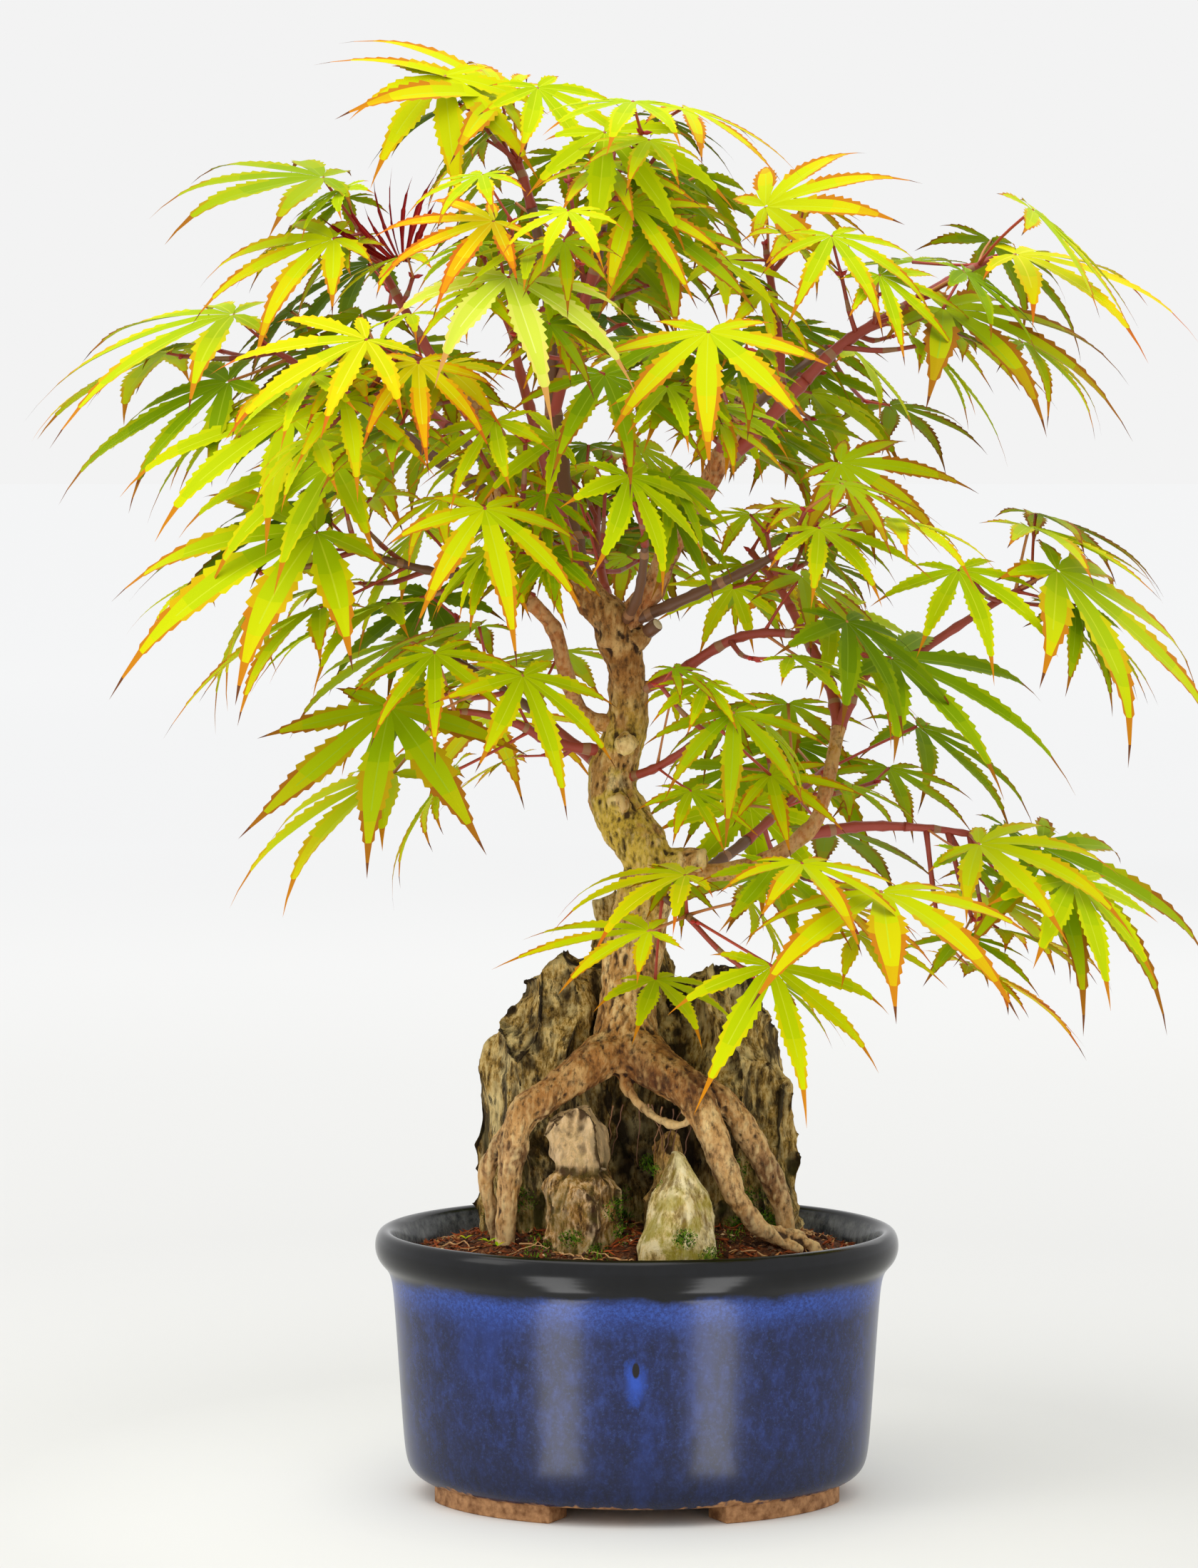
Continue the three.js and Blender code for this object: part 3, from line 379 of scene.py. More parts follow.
# %% Feet
FOOT_OUTER, FOOT_INNER, FOOT_TOP = 65, 52, 6.4
FOOT_SPREAD = math.radians(48)
FEET_AT = (42, 138, 222, 318)
feet = []
for degrees in FEET_AT:
    start = math.radians(degrees) + FOOT_SPREAD / 2
    deselect()
    bpy.ops.mesh.primitive_plane_add(size=1, rotation=(math.pi / 2, 0, 0))
    foot = bpy.context.active_object
    foot.scale = ((FOOT_OUTER - FOOT_INNER) * MM, FOOT_TOP * MM, 1)
    foot.location = ((FOOT_OUTER + FOOT_INNER) / 2 * MM, 0, FOOT_TOP / 2 * MM)
    settle(foot)
    foot.rotation_euler = (0, 0, start)
    settle(foot)
    bpy.ops.object.mode_set(mode="EDIT")
    bpy.ops.mesh.select_all(action="SELECT")
    bpy.ops.mesh.spin(steps=16, angle=FOOT_SPREAD, center=(0, 0, 0), axis=(0, 0, 1))
    bpy.ops.mesh.select_all(action="SELECT")
    bpy.ops.mesh.remove_doubles(threshold=1e-6)
    bpy.ops.mesh.normals_make_consistent(inside=False)
    bpy.ops.object.mode_set(mode="OBJECT")
    foot.scale = (1, POT_OVAL, 1)
    foot.location = AXIS
    settle(foot)
    shape_by(foot, "BEVEL", width=0.5 * MM, segments=3, angle_limit=math.radians(50))
    feet.append(foot)
pot = join("glazed_pot", [pot_body, *feet])
bpy.ops.object.shade_smooth_by_angle(angle=math.radians(40))
print("pot reaches", [round(size / MM, 1) for size in pot.dimensions], "mm")

# %% [markdown]
# ### Blue glaze
# A cobalt glaze pools and breaks: it is near black where it runs thin over the lip, brighter just
# under it, mottled on the wall and greyish inside, and it ends in an uneven line above the bare
# brown feet. All of that depends on height and on noise, so Object coordinates carry it. The
# pinhole in the front is colour too, as a hole of a millimetre hardly needs a form: a near-black
# spot of painted shade stands for the dark inside the hole. The bright run below it is the glaze's
# own colour. A clear coat gives the deep wet shine, and a fine bump the orange-peel of a fired
# surface.

# %% Glaze on the wall
GLAZE_ROUGHNESS, CLAY_ROUGHNESS = 0.26, 0.75
LIP_GLOSS = 0.08
COAT = 0.12
glaze = finish_of(
    "blue_glaze", roughness=GLAZE_ROUGHNESS, Specular_IOR_Level=0.32, Coat_Weight=COAT,
    Coat_Roughness=0.12,
)
r = Recipe(glaze)
mottle = r.noise(4, detail=9, roughness=0.75, stretch=(1, 1, 0.6))
fleck = r.noise(1.1, detail=5, roughness=0.8)
cloud = r.noise(30, detail=3, stretch=(1, 1, 0.45))
blue = r.ramp(mottle, (0.3, linear(9, 14, 38)), (0.5, linear(17, 27, 68)), (0.68, linear(32, 50, 108)))
blue = r.mix(r.reach(fleck, 0.52, 0.68, 0, 0.6), blue, linear(44, 66, 124))
blue = r.mix(r.reach(cloud, 0.58, 0.76, 0, 0.5), blue, linear(30, 56, 130))
blue = r.mix(r.level(30, 6, 0, 0.55), blue, linear(12, 17, 36))
print("glaze begun:", glaze.name)

# %% Bright band under the lip
uneven = r.sum(r.height(), r.reach(r.noise(16, detail=3), 0, 1, -3 * MM, 3 * MM))
band = r.ramp(
    r.reach(uneven, 0, 0.1),
    (0.58, (0, 0, 0)), (0.645, (1, 1, 1)), (0.69, (1, 1, 1)), (0.71, (0, 0, 0)),
)
vivid = r.mix(r.reach(fleck, 0.4, 0.65), linear(26, 44, 104), linear(46, 80, 164))
blue = r.mix(r.times(band, 0.8), blue, vivid)

# %% Pinhole, and the run below it
PINHOLE, RUN_MIDDLE = place(-0.7, -57, 48.6), place(-0.7, -57, 44.6)
HOLE_RADIUS = 1.05 * MM
frayed = r.reach(mottle, 0.3, 0.7, -2 * MM, 2 * MM)
from_run = r.sum(r.away_from(RUN_MIDDLE, (1, 1, 0.55)), frayed)
blue = r.mix(r.reach(from_run, 1.4 * MM, 4.2 * MM, 0.7, 0), blue, linear(38, 78, 178))
from_hole = r.away_from(PINHOLE, (1, 1, 0.45))
# The pinhole: a near-black spot of painted shade, for the dark inside the hole
painted_hole_shade = r.reach(from_hole, HOLE_RADIUS, 1.25 * HOLE_RADIUS, 1, 0)
blue = r.mix(painted_hole_shade, blue, linear(16, 10, 8))

# %% Lip, inner wall and bare clay
lip = r.reach(uneven, 67 * MM, 70.5 * MM)
blue = r.mix(lip, blue, r.ramp(mottle, (0.35, linear(1, 1, 2)), (0.75, linear(9, 10, 14))))
inner = r.reach(r.away_from(AXIS, (1, 1 / POT_OVAL, 0)), 75.2 * MM, 73.8 * MM)
inner = r.times(inner, r.level(68, 70.5))
blue = r.mix(inner, blue, r.ramp(mottle, (0.4, linear(40, 46, 54)), (0.66, linear(132, 138, 142))))
clay = r.ramp(r.noise(3, detail=6), (0.35, linear(122, 80, 46)), (0.7, linear(198, 148, 100)))
edge = r.sum(r.height(), r.reach(r.noise(9, detail=3), 0.3, 0.7, -1.8 * MM, 1.8 * MM))
bare = r.reach(edge, 5.8 * MM, 6.4 * MM, 1, 0)
roughness = r.reach(bare, 0, 1, GLAZE_ROUGHNESS, CLAY_ROUGHNESS)
r.feed(
    Base_Color=r.mix(bare, blue, clay),
    Roughness=r.math("SUBTRACT", roughness, r.times(lip, LIP_GLOSS)),
    Coat_Weight=r.reach(r.sum(bare, lip), 0, 1, COAT, 0),
)
r.bump(r.noise(2.2, detail=2), 0.04, 0.2)
dress(pot, glaze)
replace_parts(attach(pot, "root"), "pot")
print("pot dressed in", glaze.name)

# %% [markdown]
# ## Relief that a material can read
# Stone, bark and grit are painted darker in their creases, as painted shade, and stone and bark
# paler on their ridges, as a painted highlight. A bump map can't know where those are, but the
# mesh does: each point is compared with the mean of its neighbours, and how far it stands out is
# kept as a number on the mesh, which a material then reads.

# %% Mark creases and ridges
def read_vertices(mesh, kind):
    """The place or the normal of each vertex, as rows of an array."""
    values = np.empty(len(mesh.vertices) * 3)
    mesh.vertices.foreach_get(kind, values)
    return values.reshape(-1, 3)


def mark_relief(piece, rounds=4):
    """Writes the attribute relief: 0 deep in a crease, a half where it's even, 1 on a ridge."""
    mesh = piece.data
    at, out = read_vertices(mesh, "co"), read_vertices(mesh, "normal")
    ends = np.empty(len(mesh.edges) * 2, int)
    mesh.edges.foreach_get("vertices", ends)
    ends = ends.reshape(-1, 2)
    neighbours = np.bincount(ends.ravel(), minlength=len(at))[:, None]
    mean = at.copy()
    for _ in range(rounds):
        total = np.zeros_like(mean)
        np.add.at(total, ends[:, 0], mean[ends[:, 1]])
        np.add.at(total, ends[:, 1], mean[ends[:, 0]])
        mean = total / np.maximum(neighbours, 1)
    stands = ((at - mean) * out).sum(1)
    share = np.clip(stands / (2.5 * stands.std() + 1e-12), -1, 1) / 2 + 0.5
    layer = mesh.attributes.new("relief", "FLOAT", "POINT")
    layer.data.foreach_set("value", share.astype(np.float32))


def roughen(piece, voxel_mm, *layers, tall=1.0):
    """Rebuilds a closed mesh in even faces, then pushes it in and out by each texture in turn.
    A frame for the textures that is stretched upward makes the marks taller than they are wide."""
    shape_by(piece, "REMESH", mode="VOXEL", voxel_size=voxel_mm * MM)
    shape_by(piece, "SMOOTH", factor=0.5, iterations=3)
    stretch = bpy.data.objects.new("stretch", None)
    bpy.context.collection.objects.link(stretch)
    stretch.scale = (1, 1, tall)
    bpy.context.view_layer.update()
    for number, (kind, size_mm, strength_mm, middle, settings) in enumerate(layers):
        texture = bpy.data.textures.new(f"{piece.name}_{number}", kind)
        texture.noise_scale = size_mm * MM
        for key, value in settings.items():
            setattr(texture, key, value)
        shape_by(
            piece, "DISPLACE", texture=texture, texture_coords="OBJECT", texture_coords_object=stretch,
            strength=strength_mm * MM, mid_level=middle,
        )
    bpy.data.objects.remove(stretch)
    mark_relief(piece)
    pick(piece)
    bpy.ops.object.shade_smooth()


CRACKS = {"weight_1": -1.0, "weight_2": 1.0}

# %% [markdown]
# ## Rocks
# The trunk sits on one tall weathered rock, with a lump, a small rock and a pale mossy stone in
# front. Their places and their grooves for the roots come from the construction model, so each one
# starts as a merged copy of its solid. The lump is a pale stone on a darker one, so its copy is
# first drawn in at a waist. A voxel remesh gives each rock even faces, and ridged noise, cracks and
# fine noise then push the surface about, coarse to fine, as weather does. Their colours are one
# recipe with other tints: grain, seams, moss at the foot, painted shade in the creases, a painted
# highlight on the ridges, and a dark patch of painted shade under the arch of the roots.

# %% Copy of a solid
def copy_of(node, name):
    piece = bpy.data.objects.new(name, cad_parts[node].data.copy())
    bpy.context.collection.objects.link(piece)
    pick(piece)
    bpy.ops.object.mode_set(mode="EDIT")
    bpy.ops.mesh.select_all(action="SELECT")
    bpy.ops.mesh.remove_doubles(threshold=1e-6)
    bpy.ops.object.mode_set(mode="OBJECT")
    return piece


# %% Rock material
CAP_TINT = linear(232, 200, 152)
# A dark patch of painted shade under the arch of the roots: its middle, its stretch and its colour
ARCH_SHADE_MIDDLE, ARCH_SHADE_STRETCH = place(8, -20, 107), (1, 0.6, 0.85)
ARCH_SHADE_TINT = linear(30, 18, 12)


def stone_finish(name, cracks_and_crease_shade, body, ochre, pale, moss_share, moss_tint, arch_shade=0.0, cap=0.0):
    """Colours of stone, laid over each other, with painted shade in the creases and a painted highlight
    on the ridges; the last two arguments say how far the painted shade under the root arch and the
    pale cap show.
    """
    material = finish_of(name, roughness=0.9, Specular_IOR_Level=0.2)
    r = Recipe(material)
    tint = r.ramp(r.noise(13, detail=8, roughness=0.7), (0.34, body), (0.5, ochre), (0.62, pale))
    grain = r.noise(1.7, detail=7, roughness=0.75, stretch=(1, 1, 0.32))
    seam = r.noise(8, detail=8, roughness=0.7, stretch=(1, 1, 0.2))
    tint = r.mix(r.reach(grain, 0.48, 0.6, 0, 0.75), tint, pale)
    tint = r.mix(r.reach(grain, 0.5, 0.38, 0, 0.92), tint, cracks_and_crease_shade)
    tint = r.mix(r.reach(seam, 0.49, 0.41, 0, 0.85), tint, cracks_and_crease_shade)
    tint = r.mix(r.level(102.5, 105.5, 0, cap), tint, CAP_TINT)
    relief = r.relief()
    # Painted shade in the mesh's creases, and a painted highlight on its ridges
    tint = r.mix(r.reach(relief, 0.49, 0.2, 0, 0.94), tint, cracks_and_crease_shade)
    tint = r.mix(r.reach(relief, 0.6, 0.95, 0, 0.6), tint, pale)
    moss = r.times(r.level(122, 84), r.reach(r.noise(7, detail=5), 0.46, 0.58))
    tint = r.mix(r.times(moss, moss_share), tint, moss_tint)
    # Painted shade under the arch of the roots
    arch_shade_share = r.reach(r.away_from(ARCH_SHADE_MIDDLE, ARCH_SHADE_STRETCH), 10 * MM, 23 * MM, arch_shade, 0)
    r.feed(Base_Color=r.mix(arch_shade_share, tint, ARCH_SHADE_TINT))
    r.bump(r.sum(grain, r.noise(0.9, detail=5, roughness=0.75)), 0.9, 0.8)
    return material


rock_finish = stone_finish(
    "weathered_rock", linear(34, 23, 12), linear(148, 115, 52), linear(184, 143, 66), linear(232, 206, 142),
    moss_share=0.35, moss_tint=linear(96, 98, 28), arch_shade=0.92,
)
ochre_finish = stone_finish(
    "ochre_rock", linear(58, 34, 12), linear(170, 120, 52), linear(200, 150, 78), linear(240, 208, 164),
    moss_share=0.45, moss_tint=linear(104, 100, 28), cap=0.55,
)
inner_finish = stone_finish(
    "inner_rock", linear(44, 26, 10), linear(150, 104, 44), linear(184, 134, 62), linear(222, 180, 110),
    moss_share=0.4, moss_tint=linear(96, 96, 26),
)
pale_finish = stone_finish(
    "pale_stone", linear(122, 94, 42), linear(222, 188, 110), linear(234, 208, 140), linear(246, 230, 184),
    moss_share=0.8, moss_tint=linear(160, 146, 26),
)
print("stones:", [finish.name for finish in (rock_finish, ochre_finish, inner_finish, pale_finish)])

# %% Rocks
def pinch(piece, voxel_mm, height_mm, share, half_mm):
    """Draws a belt of the piece in towards its middle, as between two lumps of stone."""
    shape_by(piece, "REMESH", mode="VOXEL", voxel_size=voxel_mm * MM)
    at = read_vertices(piece.data, "co")
    middle = at[:, :2].mean(0)
    belt = 1 - share * np.exp(-((at[:, 2] / MM - height_mm) / half_mm) ** 2)
    at[:, :2] = middle + (at[:, :2] - middle) * belt[:, None]
    piece.data.vertices.foreach_set("co", at.ravel())
    piece.data.update()


WAIST_HEIGHT, WAIST_SHARE, WAIST_HALF = 103.5, 0.14, 1.7
# Each rock: its node, the size of its faces and crags, how deep they go, its finish and its slot
ROCKS = (
    ("rock_main", 1.1, 15, 4.2, rock_finish, "rock"),
    ("rock_front", 0.6, 9, 2.4, ochre_finish, "rock"),
    ("rock_middle", 0.6, 8, 2.2, inner_finish, "rock"),
    ("stone_pale", 0.6, 9, 1.0, pale_finish, "pale_stone"),
)
for node, voxel, crag, depth, finish, slot in ROCKS:
    rock = copy_of(node, f"weathered_{node}")
    if node == "rock_front":
        pinch(rock, voxel, WAIST_HEIGHT, WAIST_SHARE, WAIST_HALF)
    roughen(
        rock, voxel,
        ("MUSGRAVE", crag, depth, 0.55, {"musgrave_type": "RIDGED_MULTIFRACTAL", "octaves": 4.0}),
        ("VORONOI", crag * 0.7, 0.62 * depth, 0.75, CRACKS),
        ("CLOUDS", 2.6, 0.35 * depth, 0.5, {"noise_depth": 3}),
        tall=2.2,
    )
    dress(rock, finish)
    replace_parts(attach(rock, "root"), node)
    print(rock.name, len(rock.data.polygons), "faces")

# %% [markdown]
# ## Smooth ways for limbs
# Trunk, roots, boughs and twigs all follow a few measured points: place and diameter. A smooth way
# through such points is a Catmull-Rom curve, where each stretch looks at the points before and
# after it. It is written out here because the foliage rule below measures along the same ways.

# %% A smooth way through listed points
def smooth_way(points, steps):
    points = np.asarray(points, float)
    first = 2 * points[0] - points[1]
    last = 2 * points[-1] - points[-2]
    whole = np.vstack([first, points, last])
    way = []
    spans = len(points) - 1
    for i in range(spans * steps + 1):
        along = i / steps
        span = min(int(along), spans - 1)
        t = along - span
        before, a, b, after = whole[span:span + 4]
        start, end = (b - before) / 2, (after - a) / 2
        square = 3 * (b - a) - 2 * start - end
        cube = 2 * (a - b) + start + end
        point = a + start * t + square * t ** 2 + cube * t ** 3
        if points.shape[1] == 4:
            point[3] = a[3] + (b[3] - a[3]) * t
        way.append(point)
    return np.array(way)


def limb(name, points, steps=6, sides=12):
    """A round tapering limb: a curve with a radius at each point, made a mesh."""
    way = smooth_way(points, steps)
    curve = bpy.data.curves.new(name, "CURVE")
    curve.dimensions = "3D"
    curve.bevel_depth = MM
    curve.bevel_resolution = (sides - 4) // 2
    curve.use_fill_caps = True
    spline = curve.splines.new("POLY")
    spline.points.add(len(way) - 1)
    for point, (x, y, z, thick) in zip(spline.points, way):
        point.co = (*place(x, y, z), 1)
        point.radius = thick / 2
    piece = bpy.data.objects.new(name, curve)
    bpy.context.collection.objects.link(piece)
    pick(piece)
    bpy.ops.object.convert(target="MESH")
    return bpy.context.active_object


# %% [markdown]
# ## Trunk and roots
# The trunk bends like an S and parts over the rock into roots that grip it. Each one is drawn as a
# curve with a radius at every point and turned into a mesh. A voxel remesh then melts them into one
# skin, as wood does where limbs meet, and cracks and lumps are pushed into it for bark. The colours
# change with height: worn roots with damp stains, a dark flare, green patches between, a dark top.

# %% Trunk and roots, as points along each: x, y, z, diameter
TRUNK = [
    (-3, -5, 132, 23), (-3.3, -5, 139.5, 20), (-3.1, -3, 154, 16.6), (-0.9, -2, 169.5, 18.4),
    (2.6, -3, 185.5, 17.4), (3.2, -4, 195.5, 15.4), (-5.9, 0, 211, 16), (-7, 2, 222, 14.8),
    (-3.2, 2, 237, 12.4), (-2.8, 0, 249, 10.6), (-5.4, -1, 261, 13), (-7, -2, 268, 13.4),
    (-13.2, -3, 274, 9.8), (-19.6, -5, 284.6, 7.4),
]
ROOTS = {
    "left": [
        (-3.3, -6, 141, 16), (-13.5, -13, 134, 12.6), (-25, -18, 126.5, 10), (-35, -20, 119, 9.2),
        (-38, -21, 106, 8), (-39.5, -21, 90, 6.2), (-40, -21, 80, 4.6),
    ],
    "left_outer": [
        (-37, -20, 117, 5.6), (-43, -17, 108, 5), (-46, -15, 98, 4.8), (-43.6, -14, 86, 4),
        (-43, -14, 80, 3.2),
    ],
    "right_front": [
        (-3.3, -6, 140, 17), (6, -15, 133, 14.4), (15.5, -21, 127, 12), (21.5, -24, 117, 9),
        (27, -27, 102, 7.2), (34, -27, 89, 5.6), (41, -24, 83, 4.2), (50, -23, 78.5, 2.8),
    ],
    "right_back": [
        (15, -18, 129, 9), (27, -17, 122, 8.4), (36.5, -16, 108, 7.6), (43.6, -15, 92, 6), (46, -14, 79, 4.6),
    ],
    "surface": [(38, -24, 85, 4), (46, -20, 83, 3.8), (53, -20, 79.5, 3.4), (57, -21, 76.5, 2.8)],
    "arch": [
        (-5, -11, 132, 5), (-1, -16, 124, 2.9), (6, -20, 118.5, 2.2), (13, -24, 117, 1.6),
        (19, -24, 121, 1.5),
    ],
}
# A stub of a pruned bough, and the burls that old cuts have healed over
KNOBS = [
    [(3.2, -4, 193, 9), (13, -7, 195, 8.4), (21, -9, 196.5, 6)],
    [(-4, -6, 213, 8), (-6.5, -9.2, 212, 6.5)],
    [(-3, -5, 230, 8), (-4.5, -7.4, 233, 5)],
    [(-6, -4, 262, 9), (-11, -6.5, 264, 6)],
    [(-1, -4, 262, 8), (3.2, -4, 265, 5)],
    [(-3, -8, 146, 8), (-4, -12.2, 147, 5)],
    [(1, -6, 158, 8), (4.4, -9.5, 160, 5)],
]
print(len(ROOTS), "roots and", len(KNOBS), "knobs")

# %% Bark material
GREEN_BARK, WORN_ROOT, WET_STAIN = linear(200, 168, 58), linear(198, 156, 104), linear(96, 56, 28)
DARKER_FLARE_AND_TOP = (0.6, 0.46, 0.34, 1)


def bark_finish(name, crack_and_crease_shade, body, warm, ridge_and_highlight, green_share, age=0.0):
    """Colours of bark, laid over each other, with painted shade in the creases and a painted highlight
    on the ridges. Age wears and stains the roots, and sets how much darker the flare and the top are.
    """
    material = finish_of(name, roughness=0.8, Specular_IOR_Level=0.25)
    r = Recipe(material)
    tint = r.noise(6, detail=6, roughness=0.7, stretch=(1, 1, 0.5))
    tint = r.ramp(tint, (0.36, body), (0.5, warm), (0.64, ridge_and_highlight))
    patch = r.reach(r.noise(13, detail=3), 0.46, 0.54)
    middle = r.times(r.level(170, 190), r.level(250, 232))
    tint = r.mix(r.times(r.times(patch, middle), green_share), tint, GREEN_BARK)
    worn = r.times(r.level(124, 108), r.reach(r.noise(9, detail=3), 0.32, 0.5))
    tint = r.mix(r.times(worn, 0.8 * age), tint, WORN_ROOT)
    stain = r.reach(r.noise(12, detail=6, roughness=0.62, stretch=(1, 1, 0.6)), 0.49, 0.57)
    stain = r.times(stain, r.level(142, 130))
    tint = r.mix(r.times(stain, 0.85 * age), tint, WET_STAIN)
    grain = r.noise(1.3, detail=6, roughness=0.72, stretch=(1, 1, 0.4))
    tint = r.mix(r.reach(grain, 0.48, 0.36, 0, 0.7), tint, crack_and_crease_shade)
    tint = r.mix(r.reach(grain, 0.54, 0.7, 0, 0.32), tint, ridge_and_highlight)
    scar = r.noise(4.5, detail=7, roughness=0.72, stretch=(1, 1, 0.6))
    tint = r.mix(r.reach(scar, 0.46, 0.37, 0, 0.6), tint, crack_and_crease_shade)
    relief = r.relief()
    # Painted shade in the mesh's creases, and a painted highlight on its ridges
    tint = r.mix(r.reach(relief, 0.48, 0.2, 0, 0.94), tint, crack_and_crease_shade)
    tint = r.mix(r.reach(relief, 0.6, 0.95, 0, 0.5), tint, ridge_and_highlight)
    # Darker at the root flare and towards the top
    flare = r.times(r.level(152, 140), r.level(116, 128))
    dark = r.times(r.math("MAXIMUM", flare, r.level(230, 252)), age)
    r.feed(Base_Color=r.mix(dark, tint, DARKER_FLARE_AND_TOP, "MULTIPLY"))
    r.bump(r.sum(grain, r.noise(0.7, detail=5, roughness=0.7)), 0.6, 0.5)
    return material


old_bark = bark_finish(
    "old_bark", linear(48, 28, 12), linear(156, 110, 56), linear(190, 140, 76), linear(238, 208, 148),
    green_share=0.85, age=0.9,
)
young_bark = bark_finish(
    "young_bark", linear(74, 38, 20), linear(152, 92, 50), linear(180, 108, 56), linear(208, 164, 112),
    green_share=0.3,
)
print("barks:", old_bark.name, "and", young_bark.name)

# %% Trunk in its bark
limbs = [limb("trunk_way", TRUNK, sides=16)]
limbs += [limb(f"root_{name}", points) for name, points in ROOTS.items()]
limbs += [limb("knob", points, sides=12) for points in KNOBS]
trunk = join("bark_of_trunk", limbs)
roughen(
    trunk, 0.62,
    ("CLOUDS", 8, 2.0, 0.32, {"noise_depth": 2}),
    ("CLOUDS", 3.2, 1.7, 0.5, {"noise_depth": 4}),
    ("VORONOI", 2.2, 0.7, 0.5, CRACKS),
    tall=1.9,
)
dress(trunk, old_bark)
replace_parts(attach(trunk, "root"), "trunk")
print("trunk and roots of", len(trunk.data.polygons), "faces")

# %% [markdown]
# ## Main boughs
# Four boughs leave the trunk. Their bark is younger: smoother, warmer, and ringed where leaves once
# stood in pairs. The rings are made in the curve itself, as a radius that swells every few steps.

# %% Main boughs
LIMBS = {
    "bough_right": [
        (-4, -2, 267, 9.4), (4.6, -3, 278, 8), (9.4, -4, 289, 7.2), (16.6, -5, 301, 7), (25.6, -6, 318, 6.6),
        (32.4, -7, 335.6, 5.4),
    ],
    "bough_left_lower": [
        (-4, 2, 236, 6.4), (-16, 0, 239, 5.6), (-21, -4, 250, 5.2), (-25.4, -6, 266, 5), (-32.4, -8, 274, 5),
        (-43.4, -10, 283.5, 5.4),
    ],
    "bough_left_riser": [
        (-43.4, -10, 283, 6), (-42.4, -11, 304, 5.2), (-41.8, -12, 323, 5), (-49.3, -16, 333.7, 4.6),
        (-57, -22, 343, 3.6),
    ],
    "bough_right_lower": [
        (3, -4, 192, 7), (31, -10, 193, 5.6), (51, -14, 204.5, 5), (57, -12, 217, 4.6),
        (61.2, -6, 236.4, 4.4),
    ],
}
RING_EVERY = 5
RING_SWELL = 1.16


def ringed(points, steps=5):
    """The same way with more points, and thicker where a pair of leaves once stood."""
    way = smooth_way(points, steps)
    way[::RING_EVERY, 3] *= RING_SWELL
    return way


for name, points in LIMBS.items():
    bough = limb(f"bark_of_{name}", ringed(points), steps=3, sides=12)
    roughen(
        bough, 0.5,
        ("CLOUDS", 5, 0.8, 0.5, {"noise_depth": 2}),
        ("VORONOI", 1.8, 0.3, 0.6, CRACKS),
    )
    dress(bough, young_bark)
    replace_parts(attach(bough, "root"), name)
    print(bough.name, len(bough.data.polygons), "faces")
